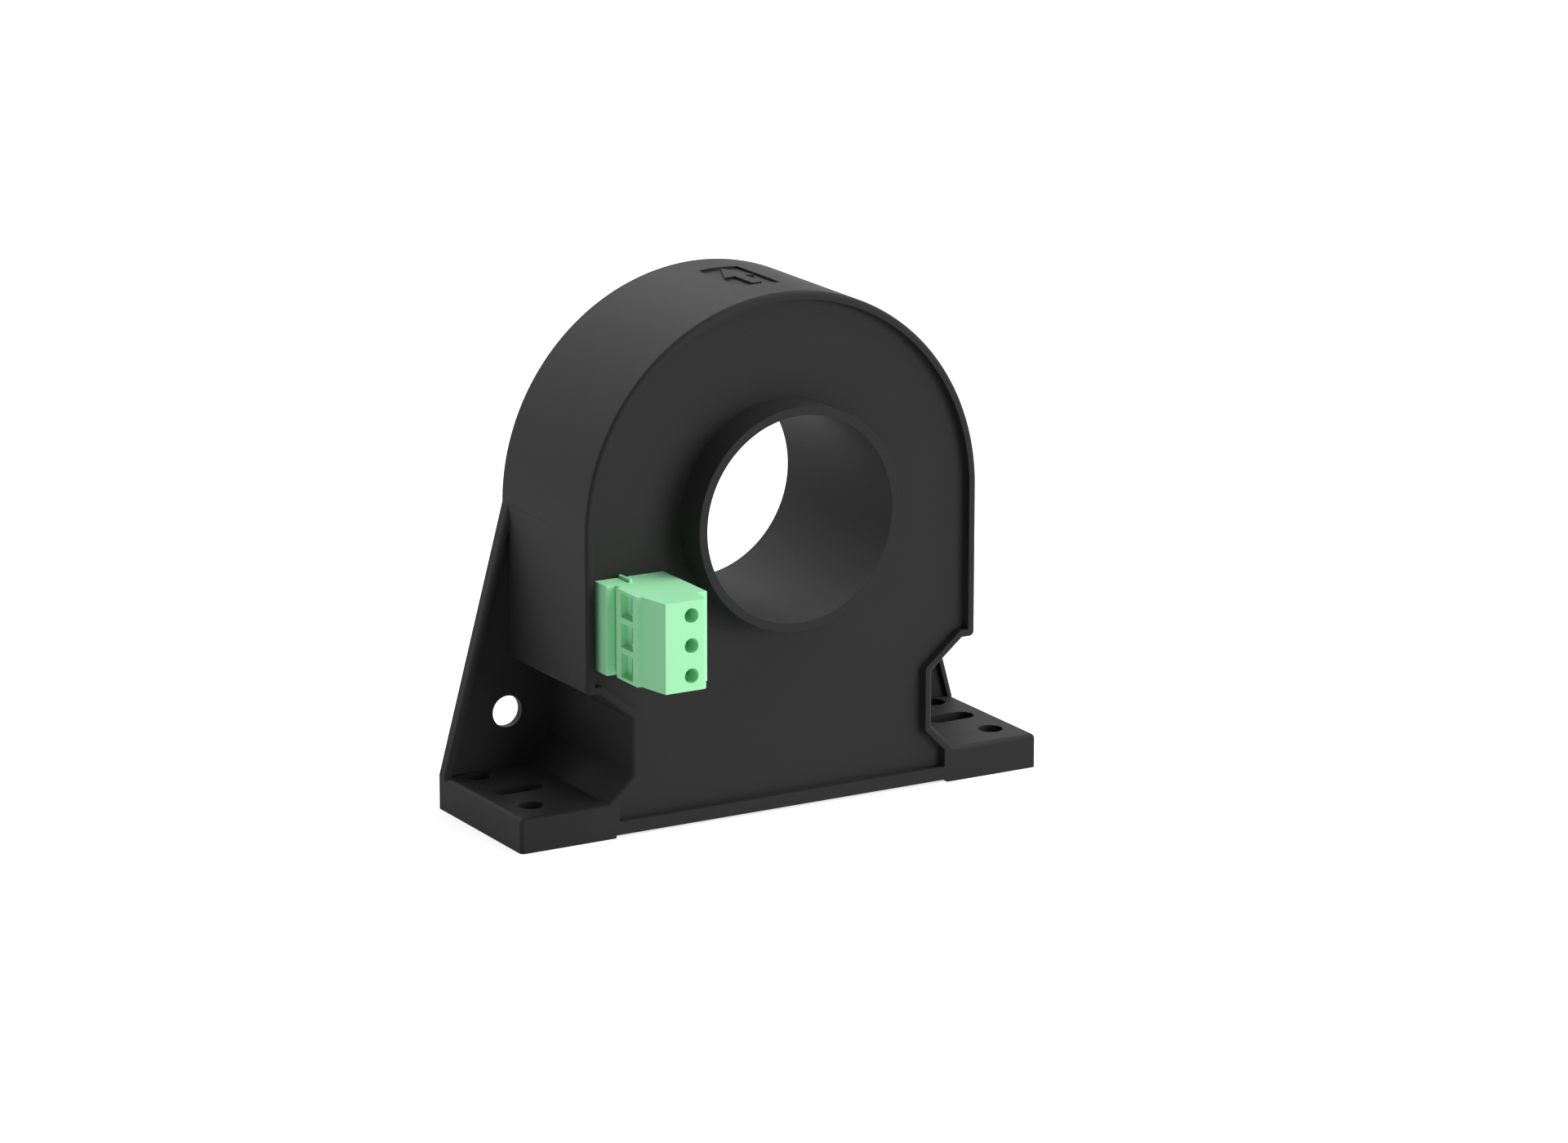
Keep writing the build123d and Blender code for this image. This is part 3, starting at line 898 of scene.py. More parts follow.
def winding_tree() -> GrowingTree:
    """Tree for the turns of wire round a ring core.

    Returns:
        The tree.
    """
    sizes = ("Wire Radius", "Loop Width", "Loop Height", "Corner", "Ring Radius", "Ring Middle",
             "First Turn", "Step", "Unevenness")
    grower = GrowingTree("winding_turns", {
        "Turns": "Int", "Seed": "Int", **dict.fromkeys(sizes, "Float")})
    given = grower.given
    loop = grower.add("GeometryNodeCurvePrimitiveQuadrilateral", {
        "Width": given["Loop Width"], "Height": given["Loop Height"]})
    soft = grower.add("GeometryNodeFilletCurve", {
        "Curve": loop.outputs["Curve"], "Radius": given["Corner"]}, mode="POLY")
    wire = grower.add("GeometryNodeCurvePrimitiveCircle", {
        "Resolution": WIRE_SIDES, "Radius": given["Wire Radius"]})
    turn = grower.add("GeometryNodeCurveToMesh", {
        "Curve": soft.outputs["Curve"], "Profile Curve": wire.outputs["Curve"]})
    seat = grower.vector(X=given["Ring Radius"], Y=given["Ring Middle"])
    placed = grower.moved(turn.outputs["Mesh"], Translation=seat)
    points = grower.add("GeometryNodePoints", {"Count": given["Turns"]})
    place = grower.add("GeometryNodeInputIndex").outputs["Index"]
    even = grower.number("MULTIPLY_ADD", place, given["Step"], given["First Turn"])
    least = grower.number("MULTIPLY", given["Unevenness"], -1.0)
    stray = grower.add("FunctionNodeRandomValue", {
        "Seed": given["Seed"], 2: least, 3: given["Unevenness"]})
    angle = grower.number("ADD", even, stray.outputs[1])
    turns = grower.add("GeometryNodeInstanceOnPoints", {
        "Points": points.outputs["Points"], "Instance": placed, "Rotation": grower.vector(Y=angle)})
    grower.close(turns.outputs["Instances"])
    return grower


def thread_tree() -> GrowingTree:
    """Tree for the threaded shank of a screw that runs along the depth.

    Returns:
        The tree.
    """
    sizes = ("Turns", "Core Radius", "Ridge Radius", "Ridge Size", "Length", "X", "Start", "Z")
    grower = GrowingTree("screw_thread", dict.fromkeys(sizes, "Float"))
    given = grower.given
    length, ridge_size = given["Length"], given["Ridge Size"]
    core = grower.add("GeometryNodeMeshCylinder", {
        "Vertices": THREAD_SIDES, "Radius": given["Core Radius"], "Depth": length})
    half = grower.number("MULTIPLY", length, 0.5)
    stem = grower.moved(core.outputs["Mesh"], Translation=grower.vector(Z=half))
    run = grower.number("SUBTRACT", grower.number("SUBTRACT", length, ridge_size), ridge_size)
    helix = grower.add("GeometryNodeCurveSpiral", {
        "Resolution": THREAD_SIDES, "Rotations": given["Turns"], "Height": run,
        "Start Radius": given["Ridge Radius"], "End Radius": given["Ridge Radius"]})
    raised = grower.moved(helix.outputs["Curve"], Translation=grower.vector(Z=ridge_size))
    edge = grower.add("GeometryNodeCurvePrimitiveCircle", {
        "Resolution": RIDGE_SIDES, "Radius": ridge_size})
    ridge = grower.add("GeometryNodeCurveToMesh", {
        "Curve": raised, "Profile Curve": edge.outputs["Curve"], "Fill Caps": True})
    both = grower.joined(ridge.outputs["Mesh"], stem)
    seat = grower.vector(X=given["X"], Y=given["Start"], Z=given["Z"])
    grower.close(grower.moved(both, Translation=seat, Rotation=(-math.pi / 2, 0, 0)))
    return grower


# Sub-assemblies


@dataclass
class HousingMoulding:
    """The black moulding: arch, neck, feet, gussets, bore tube and arrow pocket."""

    wardrobe: Wardrobe
    wall: float = 1.4 * MM
    back_wall: float = 2.0 * MM
    shoulder_drop: float = 26.5 * MM
    shoulder_ledge: float = 2.4 * MM
    neck_half: float = 29.1 * MM
    neck_top: float = -31.5 * MM
    neck_len: float = 10.1 * MM
    foot_t: float = 6.0 * MM
    flare: float = 4.4 * MM
    belly_half: float = 33.0 * MM
    belly_floor: float = 2.3 * MM
    pad_relief: float = 0.5 * MM
    pad_inset: float = 0.8 * MM
    rim_round: float = 0.7 * MM
    corner_round: float = 0.9 * MM
    body_r: float = 37.5 * MM
    bore_r: float = 17.7 * MM
    tube_wall: float = 1.5 * MM
    tube_front: float = 5.2 * MM
    gusset_t: float = 1.5 * MM
    gusset_rise: float = 0.25 * MM
    lip_t: float = 1.1 * MM
    lip_depth: float = 2.5 * MM
    gusset_hole_r: float = 2.75 * MM
    gusset_hole_x: float = 37.75 * MM
    gusset_hole_drop: float = 36.0 * MM
    foot_hole_r: float = 2.15 * MM
    foot_hole_x: float = 44.8 * MM
    foot_hole_pitch: float = 19.0 * MM
    foot_holes_mid: float = 1.2 * MM
    slot_travel: float = 5.0 * MM
    pocket_w: float = 7.5 * MM
    pocket_len: float = 14.5 * MM
    pocket_mid: float = 0.5 * MM
    pocket_depth: float = 0.4 * MM
    arrow_head_half: float = 2.8 * MM
    arrow_shaft_half: float = 0.9 * MM
    arrow_head_len: float = 6.35 * MM
    arrow_len: float = 12.3 * MM
    arrow_tip_gap: float = 1.0 * MM
    rib_t: float = 1.6 * MM
    rib_reach: float = 1.7 * MM
    rib_turns: tuple[float, ...] = (-45, 45)
    tube_round: float = 0.12 * MM
    level_play: float = 0.01 * MM
    arch_steps: int = 120
    hole_steps: int = 48
    over: float = 2.0 * MM
    front: float = field(init=False)
    back: float = field(init=False)
    base: float = field(init=False)
    half_span: float = field(init=False)

    def __post_init__(self) -> None:
        """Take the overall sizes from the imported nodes."""
        low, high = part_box("housing")
        self.half_span = high.x
        self.base = low.z
        self.back = high.y
        self.front = low.y + self.tube_front

    def arch(self, radius: float) -> list[Point]:
        """Upper half circle, from the right round to the left."""
        turns = [math.pi * i / self.arch_steps for i in range(self.arch_steps + 1)]
        return [(radius * math.cos(t), radius * math.sin(t)) for t in turns]

    def neck(self, side_x: float, bottom: float) -> list[Point]:
        """Right half of the outline below the axis, from the bottom up.

        Args:
            side_x: Half the width at the bottom, where the flare ends.
            bottom: Height of the bottom.

        Returns:
            The corners.
        """
        low_flare = self.base + self.foot_t + self.flare
        return [
            (side_x, bottom),
            (side_x, low_flare - (side_x - self.neck_half)),
            (self.neck_half, low_flare),
            (self.neck_half, self.neck_top),
            (self.body_r - self.shoulder_ledge, -self.shoulder_drop),
            (self.body_r, -self.shoulder_drop),
        ]

    def mirrored(self, right: list[Point]) -> list[Point]:
        """Close a right half with the arch and its mirror image."""
        left = [(-x, z) for x, z in reversed(right)]
        return right + self.arch(self.body_r) + left

    def outer(self) -> list[Point]:
        """Whole outline with its feet, corners rounded.

        Returns:
            The corners, counter-clockwise.
        """
        pad_x = self.belly_half - self.pad_inset
        foot_top = self.base + self.foot_t
        right = [
            (pad_x, self.base + self.pad_relief),
            (pad_x, self.base),
            (self.half_span, self.base),
            (self.half_span, foot_top),
        ]
        toe = len(right) - 1
        right += self.neck(self.neck_half + self.flare, foot_top)[1:]
        shoulder = len(right) - 1
        points = self.mirrored(right)
        last = len(points) - 1
        softened = (toe, shoulder, last - toe, last - shoulder)
        return rounded(points, {corner: self.corner_round for corner in softened})

    def cavity(self) -> list[Point]:
        """Outline of the potted space."""
        bottom = self.base + self.pad_relief + self.belly_floor - self.wall
        return inset(self.mirrored(self.neck(self.belly_half, bottom)), self.wall)

    def shell(self) -> Solid:
        """Solid of the outline with its front edges rounded.

        Returns:
            The new object.
        """
        bm, _ = drawn_out(self.outer(), self.front, self.back, Across.DEPTH)
        floor = self.base + self.pad_relief + self.level_play
        rim = [
            edge for edge in bm.edges
            if all(abs(v.co.y - self.front) < MICRON for v in edge.verts)
            and sum(v.co.z for v in edge.verts) / 2 > floor
        ]
        round_edges(bm, rim, self.rim_round)
        return make_object("sensor_housing", bm)

    def disc(self, at: Point, radius: float, low: float, high: float, steps: int) -> Solid:
        """Round tool along the depth."""
        return prism("tool", circle_points(*at, radius, steps), low, high)

    def gusset(self, side: Side) -> Solid:
        """Slanted plate with its lip behind one foot.

        Args:
            side: Side that the foot is on.

        Returns:
            The new object.
        """
        s = side.value
        foot_top = self.base + self.foot_t
        top, toe = (s * self.body_r, self.gusset_rise), (s * self.half_span, foot_top)
        inner = s * (self.neck_half - self.wall)
        sunk = foot_top - self.wall
        corners = [top, toe, (toe[0], sunk), (inner, sunk), (inner, self.gusset_rise)]
        plate = prism("gusset", corners, self.back - self.gusset_t, self.back)
        run, drop = toe[0] - top[0], toe[1] - top[1]
        shift = s * self.lip_t * math.hypot(run, drop) / abs(drop)
        lip = self.rounded_lip([
            top, toe, (toe[0], sunk), (toe[0] - shift, sunk), (toe[0] - shift, foot_top),
            (top[0] - shift, self.gusset_rise)])
        return carve(plate, lip, Cut.ADD)

    def rounded_lip(self, points: list[Point]) -> Solid:
        """Lip strip with its outer front edge rounded.

        Args:
            points: Outline of the strip, whose first three corners lie along that edge.

        Returns:
            The new object.
        """
        bm, near = drawn_out(points, self.back - self.lip_depth, self.back, Across.DEPTH)
        edges = [bm.edges.get(ends) for ends in zip(near[:2], near[1:3])]
        round_edges(bm, edges, self.rim_round)
        return make_object("lip", bm)

    def foot_tools(self, side: Side) -> Iterable[Solid]:
        """Tools for the round holes and the slot of one foot.

        Args:
            side: Side that the foot is on.

        Returns:
            The tools, one after the other.
        """
        low, high = self.base - self.over, self.base + self.foot_t + self.over
        radius, middle = self.foot_hole_r, self.foot_holes_mid
        x = side.value * self.foot_hole_x
        for end in (-1, 1):
            y = middle + end * self.foot_hole_pitch / 2
            hole = circle_points(x, y, radius, self.hole_steps)
            yield prism("tool", hole, low, high, Across.HEIGHT)
        near = side.value * (self.foot_hole_x - self.slot_travel)
        low_x, high_x = sorted((x, near))
        half_turn = self.hole_steps // 2
        slot = []
        for centre, start in ((high_x, -math.pi / 2), (low_x, math.pi / 2)):
            turns = [start + math.pi * i / half_turn for i in range(half_turn + 1)]
            slot += [(centre + radius * math.cos(t), middle + radius * math.sin(t)) for t in turns]
        yield prism("tool", slot, low, high, Across.HEIGHT)

    def arrow_tool(self) -> Solid:
        """Tool for the shallow pocket, with the arrow left standing in it.

        Returns:
            The tool.
        """
        back = self.pocket_mid + self.pocket_len / 2
        front = back - self.pocket_len
        tip = back - self.arrow_tip_gap
        barb, tail = tip - self.arrow_head_len, tip - self.arrow_len
        half = self.pocket_w / 2
        low, high = self.body_r - 2 * self.wall, self.body_r + self.over
        pocket = [(-half, front), (half, front), (half, back), (-half, back)]
        tool = prism("tool", pocket, low, high, Across.HEIGHT)
        head, shaft = self.arrow_head_half, self.arrow_shaft_half
        arrow = [(-shaft, tail), (shaft, tail), (shaft, barb), (head, barb), (0, tip),
                 (-head, barb), (-shaft, barb)]
        carve(tool, prism("arrow", arrow, low - self.over, high + self.over, Across.HEIGHT))
        inner = self.body_r - self.pocket_depth
        return carve(tool, self.disc(AXIS, inner, self.front, self.back, 2 * self.arch_steps))

    def ribs(self) -> Iterable[Solid]:
        """Ribs on the cavity wall that carry the board.

        Returns:
            The ribs, one after the other.
        """
        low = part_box("circuit_board")[1].y
        sunk = self.wall / 2
        high = self.back - self.back_wall + sunk
        half = self.rib_t / 2
        inner = self.body_r - self.wall
        for turn in self.rib_turns:
            corners = [(-half, inner - self.rib_reach), (half, inner - self.rib_reach),
                       (half, inner + sunk), (-half, inner + sunk)]
            spin = Matrix.Rotation(math.radians(-turn), 2)
            yield prism("rib", [tuple(spin @ Vector(corner)) for corner in corners], low, high)
        z = self.neck_top - self.neck_len / 2
        neck_in = self.neck_half - self.wall
        for side in Side:
            ends = (side.value * (neck_in - self.rib_reach), side.value * (neck_in + sunk))
            yield block("rib", (min(ends), low, z - half), (max(ends), high, z + half))

    def build(self) -> None:
        """Build and dress the moulding."""
        tube_end, round_steps = self.front - self.tube_front, 2 * self.arch_steps
        past = self.back + self.over
        solid = self.shell()
        floor = self.back - self.back_wall
        carve(solid, prism("tool", self.cavity(), self.front - self.over, floor))
        tube_r = self.bore_r + self.tube_wall
        tube = self.disc(AXIS, tube_r, tube_end, self.back - self.wall, round_steps)
        carve(solid, soften(tube, self.tube_round), Cut.ADD)
        for side in Side:
            carve(solid, self.gusset(side), Cut.ADD)
        for rib in self.ribs():
            carve(solid, rib, Cut.ADD)
        carve(solid, self.disc(AXIS, self.bore_r, tube_end - self.over, past, round_steps))
        for side in Side:
            for tool in self.foot_tools(side):
                carve(solid, tool)
            at = (side.value * self.gusset_hole_x, -self.gusset_hole_drop)
            low = self.back - self.over
            carve(solid, self.disc(at, self.gusset_hole_r, low, past, self.hole_steps))
        carve(solid, self.arrow_tool())
        shade(mend(solid))
        self.wardrobe.show(solid, BLACK_MOULDING, "housing", "root", "housing_plastic")


@dataclass
class TerminalHeader:
    """Open green box that stands out of the potting, with the keying fin on top."""

    wardrobe: Wardrobe
    side_wall: float = 1.7 * MM
    end_wall: float = 0.8 * MM
    floor: float = 1.4 * MM
    fin_in: float = 4.65 * MM
    fin_w: float = 0.5 * MM
    fin_h: float = 0.55 * MM
    edge_round: float = 0.14 * MM
    over: float = 1 * MM

    def build(self) -> None:
        """Build and dress the header."""
        low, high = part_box("terminal_header")
        top = high.z - self.fin_h
        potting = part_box("potting_compound")[0].y
        box = block("header_shell", low, (high.x, high.y, top))
        carve(box, block("tool", (low.x + self.side_wall, low.y - self.over, low.z + self.end_wall),
                         (high.x - self.side_wall, high.y - self.floor, top - self.end_wall)))
        soften(box, self.edge_round)
        fin_x = low.x + self.fin_in
        fin = block("fin", (fin_x - self.fin_w / 2, low.y + self.edge_round, top - self.edge_round),
                    (fin_x + self.fin_w / 2, potting, high.z))
        carve(box, soften(fin, self.edge_round / 2), Cut.ADD)
        for pole in POLES:
            pin_low, pin_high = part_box(f"header_pin_{pole}")
            carve(box, block("tool", (pin_low.x, high.y - self.floor - self.over, pin_low.z),
                             (pin_high.x, high.y + self.over, pin_high.z)))
        shade(box)
        self.wardrobe.show(box, GREEN_TERMINAL, "terminal_header", "root", "terminal_plastic")


@dataclass
class TerminalPlug:
    """Green plug with three wire entries on its side and three screwdriver holes in its front."""

    wardrobe: Wardrobe
    pitch: float = 5.08 * MM
    side_wall: float = 1.7 * MM
    end_wall: float = 0.8 * MM
    socket_fit: float = 0.05 * MM
    entry_in: float = 1.05 * MM
    entry_start: float = 1.5 * MM
    entry_len: float = 6.9 * MM
    facet: float = 0.25 * MM
    shoulder_in: float = 1.85 * MM
    front_left_in: float = 2.95 * MM
    front_right_in: float = 10.75 * MM
    step_in: float = 11.05 * MM
    step_back: float = 3.9 * MM
    front_round: float = 0.85 * MM
    front_round_steps: int = 8
    entry_w: float = 4.0 * MM
    entry_depth: float = 1.3 * MM
    throat_h: float = 2.6 * MM
    throat_back: float = 8.4 * MM
    throat_len: float = 1.9 * MM
    chamber_w: float = 4.2 * MM
    chamber_left_in: float = 5.2 * MM
    chamber_right_in: float = 11.1 * MM
    head_cover: float = 4.2 * MM
    head_play: float = 0.02 * MM
    chamber_floor: float = 0.3 * MM
    slot_half_x: float = 1.35 * MM
    slot_half_z: float = 1.3 * MM
    hole_r: float = 1.25 * MM
    hole_steps: int = 48
    edge_round: float = 0.12 * MM
    over: float = 1 * MM

    def outline(self) -> list[Point]:
        """Section of the plug in front of the header, as (x, y).

        Returns:
            The corners, with the front right one rounded.
        """
        header_low, header_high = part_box("terminal_header")
        left, right, rim = header_low.x, header_high.x, header_low.y
        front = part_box("plug_body")[0].y
        near = rim - self.entry_start
        far = near - self.entry_len
        waist = left + self.side_wall + self.socket_fit
        front_right = (left + self.front_right_in, front)
        points = [
            (waist, rim),
            (waist, near),
            (left + self.entry_in, near),
            (left + self.entry_in, far),
            (left + self.shoulder_in, far - self.facet),
            (left + self.front_left_in, front),
            front_right,
            (left + self.step_in, front + self.step_back),
            (right, front + self.step_back),
            (right, rim),
        ]
        radii = {points.index(front_right): self.front_round}
        return rounded(points, radii, self.front_round_steps)

    def tongue(self) -> Solid:
        """Part of the plug that fills the header's socket.

        Returns:
            The new object.
        """
        low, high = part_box("terminal_header")
        plug_low, plug_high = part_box("plug_body")
        end = self.end_wall + self.socket_fit
        side = self.side_wall + self.socket_fit
        sunk = low.y - self.entry_start / 2
        return block("tongue", (low.x + side, sunk, plug_low.z + end),
                     (high.x - side, plug_high.y, plug_high.z - end))

    def pole_tools(self, z: float) -> Iterable[Solid]:
        """Tools for the hollows of one pole.

        Args:
            z: Height of the pole.

        Returns:
            The tools, one after the other.
        """
        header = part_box("terminal_header")[0]
        plug_low, plug_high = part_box("plug_body")
        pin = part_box("header_pin_1")
        pin_x = (pin[0].x + pin[1].x) / 2
        face, front, left, over = header.x + self.entry_in, plug_low.y, header.x, self.over
        middle = header.y - self.entry_start - self.entry_len / 2
        entry, throat, room = self.entry_w / 2, self.throat_h / 2, self.chamber_w / 2
        entry_end, throat_y = face + self.entry_depth, front + self.throat_back
        room_left, room_right = left + self.chamber_left_in, left + self.chamber_right_in
        head, end = front + self.head_cover, header.y - self.chamber_floor
        yield block("tool", (face - over, middle - entry, z - entry),
                    (entry_end, middle + entry, z + entry))
        yield block("tool", (entry_end - over, throat_y, z - throat),
                    (room_left + over, throat_y + self.throat_len, z + throat))
        yield block("tool", (room_left, head - self.head_play, z - room),
                    (room_right, end, z + room))
        yield block("tool", (pin_x - self.slot_half_x, end - over, z - self.slot_half_z),
                    (pin_x + self.slot_half_x, plug_high.y + over, z + self.slot_half_z))
        hole = circle_points(pin_x, z, self.hole_r, self.hole_steps)
        yield prism("tool", hole, front - over, head + over)

    def build(self) -> None:
        """Build and dress the plug."""
        low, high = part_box("plug_body")
        plug = prism("plug_shell", self.outline(), low.z, high.z, Across.HEIGHT)
        carve(plug, self.tongue(), Cut.ADD)
        middle = (low.z + high.z) / 2
        for step in (-1, 0, 1):
            for tool in self.pole_tools(middle + step * self.pitch):
                carve(plug, tool)
        shade(soften(plug, self.edge_round))
        self.wardrobe.show(plug, GREEN_TERMINAL, "plug_body", "plug", "terminal_plastic")


@dataclass
class PoleMetal:
    """Contact, wire clamp and screw of each pole of the plug."""

    wardrobe: Wardrobe
    fold_round: float = 0.12 * MM
    head_t: float = 0.8 * MM
    head_steps: int = 48
    head_round: float = 0.15 * MM
    slot_w: float = 0.6 * MM
    slot_depth: float = 0.4 * MM
    shank_r: float = 1.25 * MM
    ridge: float = 0.16 * MM
    thread_pitch: float = 0.45 * MM
    over: float = 1 * MM

    def folded(self, node: str, name: str, body: str, slot: str, finish: Finish) -> None:
        """Show a piece of folded strip, its edges rounded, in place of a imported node."""
        piece = shade(soften(merged_copy(node, name), self.fold_round))
        self.wardrobe.show(piece, finish, node, body, slot)

    def screw(self, pole: int, grower: GrowingTree) -> None:
        """Show a slotted screw with a threaded shank.

        Args:
            pole: Number of the pole.
            grower: Tree that makes the thread.
        """
        node = f"clamp_screw_{pole}"
        low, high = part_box(node)
        x, z = (low.x + high.x) / 2, (low.z + high.z) / 2
        head_r = (high.x - low.x) / 2
        outline = circle_points(x, z, head_r, self.head_steps)
        head = prism(f"slotted_screw_{pole}", outline, low.y, low.y + self.head_t)
        reach = head_r + self.over
        carve(head, block("tool", (x - reach, low.y - self.over, z - self.slot_w / 2),
                          (x + reach, low.y + self.slot_depth, z + self.slot_w / 2)))
        soften(head, self.head_round)
        sunk = self.head_t / 4
        length = high.y - low.y - self.head_t + sunk
        core_r = self.shank_r - self.ridge
        grower.grow_on(head, {
            "Turns": length / self.thread_pitch, "Core Radius": core_r, "Ridge Radius": core_r,
            "Ridge Size": self.ridge, "Length": length, "X": x, "Z": z,
            "Start": low.y + self.head_t - sunk, "Finish": self.wardrobe.material(PLATED_STEEL)})
        shade(head)
        self.wardrobe.show(head, PLATED_STEEL, node, f"screw_{pole}", "screw_metal")

    def build(self) -> None:
        """Build and dress the metal of every pole."""
        grower = thread_tree()
        for pole in POLES:
            self.folded(f"plug_contact_{pole}", f"contact_strip_{pole}", "plug",
                        "contact_metal", TINNED_METAL)
            self.folded(f"wire_clamp_{pole}", f"clamp_cage_{pole}", f"clamp_{pole}",
                        "clamp_metal", PLATED_STEEL)
            self.screw(pole, grower)
            self.wardrobe.dress_node(f"header_pin_{pole}", TINNED_METAL)


@dataclass
class RingCore:
    """Core, its case and the winding round the bore."""

    wardrobe: Wardrobe
    wire_r: float = 0.3 * MM
    shell_t: float = 2.0 * MM
    window: float = 40.0
    corner: float = 0.8 * MM
    unevenness: float = 0.12
    arc_steps: int = 96
    seed: int = 7
    wire_angle: float = 60.0

    def section(self, low: Vector, high: Vector, sunk: float) -> list[Point]:
        """Corners of the winding's section, moved inwards.

        Args:
            low: Inner radius and lowest depth, in x and y.
            high: Outer radius and highest depth, in x and y.
            sunk: How far they are moved.

        Returns:
            The corners as (radius, depth).
        """
        inner, outer = low.x + sunk, high.x - sunk
        near, far = low.y + sunk, high.y - sunk
        return [(inner, near), (outer, near), (outer, far), (inner, far)]

    def former(self, low: Vector, high: Vector) -> Solid:
        """Hollow ring under the outer layer of turns, with a gap at the window.

        Args:
            low: Inner radius and lowest depth, in x and y.
            high: Outer radius and highest depth, in x and y.

        Returns:
            The new object.
        """
        start = math.radians(self.window / 2) - math.pi / 2
        sweep = math.radians(360 - self.window)
        outer = self.section(low, high, self.wire_r)
        inner = self.section(low, high, self.shell_t)
        corners = len(outer)
        bm = bmesh.new()
        rows = []
        for step in range(self.arc_steps + 1):
            angle = start + sweep * step / self.arc_steps
            c, s = math.cos(angle), math.sin(angle)
            rows.append([bm.verts.new((r * c, y, r * s)) for r, y in outer + inner])
        for here, there in zip(rows, rows[1:]):
            for first in (0, corners):
                for i in range(corners):
                    a, b = first + i, first + (i + 1) % corners
                    bm.faces.new((here[a], here[b], there[b], there[a]))
        for row in (rows[0], rows[-1]):
            for i in range(corners):
                j = (i + 1) % corners
                bm.faces.new((row[i], row[j], row[corners + j], row[corners + i]))
        bmesh.ops.recalc_face_normals(bm, faces=bm.faces)
        return make_object("wire_winding", bm)

    def winding(self) -> None:
        """Show the winding as separate turns of wire over the hollow ring."""
        low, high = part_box("compensation_winding")
        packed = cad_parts["compensation_winding"].data.vertices
        inner, outer = min(math.hypot(v.co.x, v.co.z) for v in packed), high.x
        coil = self.former(Vector((inner, low.y, 0)), Vector((outer, high.y, 0)))
        sweep = math.radians(360 - self.window)
        wire_t = 2 * self.wire_r
        turns = int(sweep * inner / wire_t)
        step = sweep / turns
        winding_tree().grow_on(coil, {
            "Turns": turns, "Wire Radius": self.wire_r, "Loop Width": outer - inner - wire_t,
            "Loop Height": high.y - low.y - wire_t, "Corner": self.corner,
            "Ring Radius": (inner + outer) / 2, "Ring Middle": (low.y + high.y) / 2,
            "First Turn": math.pi / 2 + math.radians(self.window / 2) + step / 2, "Step": step,
            "Unevenness": step * self.unevenness, "Seed": self.seed,
            "Finish": self.wardrobe.material(WINDING_COPPER)})
        shade(coil, self.wire_angle)
        self.wardrobe.show(coil, WINDING_COPPER, "compensation_winding", "root", "winding_wire")

    def build(self) -> None:
        """Build the winding and dress what it goes round."""
        self.winding()
        self.wardrobe.dress_node("magnetic_core", CORE_STRIP)
        for half in ("front", "rear"):
            self.wardrobe.dress_node(f"core_case_{half}", NATURAL_CASE)
        for end in ("start", "finish"):
            self.wardrobe.dress_node(f"winding_lead_{end}", WINDING_COPPER)


@dataclass
class BoardParts:
    """The circuit board, the parts soldered to it and the hall element."""

    wardrobe: Wardrobe
    resistor_half: float = 3.0 * MM
    diode_half: float = 2.5 * MM
    chip_half: float = 1.95 * MM
    hall_len: float = 3.0 * MM
    transistor_len: float = 11.0 * MM
    can_len: float = 11.5 * MM
    trimmer_len: float = 3.0 * MM
    chip_black: Colour = (30, 30, 32)
    diode_black: Colour = (26, 26, 28)
    resistor_blue: Colour = (96, 150, 176)
    resistor_gloss: float = 0.3
    can_silver: Colour = (186, 188, 194)
    trimmer_blue: Colour = (40, 84, 170)
    ring_colours: tuple[Colour, ...] = ((122, 68, 34), (24, 24, 24), (196, 44, 36), (176, 142, 58))
    ring_step: float = 1.1 * MM
    ring_w: float = 0.5 * MM
    cathode: Band = Band(1.7 * MM, 0.6 * MM, (196, 196, 192))

    def across(self, node: str, half: float, body: Colour, **extra: object) -> None:
        """Dress a part whose leads leave on both sides.

        Args:
            node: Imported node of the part.
            half: Half the length of its body.
            body: Colour of its body.
            **extra: Other facts of its finish.
        """
        low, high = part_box(node)
        middle = (low.x + high.x) / 2
        finish = LeadedPart(f"{node}_finish", body, Run.WIDTH, middle, half, **extra)
        self.wardrobe.dress_node(node, finish)

    def upright(self, node: str, length: float, end: End, body: Colour, **extra: object) -> None:
        """Dress a part whose leads leave at one end.

        Args:
            node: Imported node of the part.
            length: Length of its body along the depth.
            end: End at which the body lies.
            body: Colour of its body.
            **extra: Other facts of its finish.
        """
        low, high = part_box(node)
        middle = low.y + length / 2 if end is End.FRONT else high.y - length / 2
        finish = LeadedPart(f"{node}_finish", body, Run.DEPTH, middle, length / 2, **extra)
        self.wardrobe.dress_node(node, finish)

    def build(self) -> None:
        """Dress the board and every part on it."""
        self.wardrobe.dress_node("circuit_board", BOARD_GREEN)
        first = -(len(self.ring_colours) - 1) / 2
        rings = tuple(Band((first + i) * self.ring_step, self.ring_w, colour)
                      for i, colour in enumerate(self.ring_colours))
        for i in (1, 2, 3, 4):
            self.across(f"resistor_{i}", self.resistor_half, self.resistor_blue,
                        bands=rings, body_roughness=self.resistor_gloss)
        for i in (1, 2):
            self.across(f"diode_{i}", self.diode_half, self.diode_black, bands=(self.cathode,))
            self.upright(f"output_transistor_{i}", self.transistor_len, End.BACK, self.chip_black)
            self.upright(f"filter_capacitor_{i}", self.can_len, End.BACK, self.can_silver,
                         body_metal=1.0)
        self.across("amplifier_chip", self.chip_half, self.chip_black)
        self.upright("hall_element", self.hall_len, End.BACK, self.chip_black)
        for name in ("zero", "gain"):
            self.upright(f"{name}_trimmer", self.trimmer_len, End.FRONT, self.trimmer_blue)


# Stage


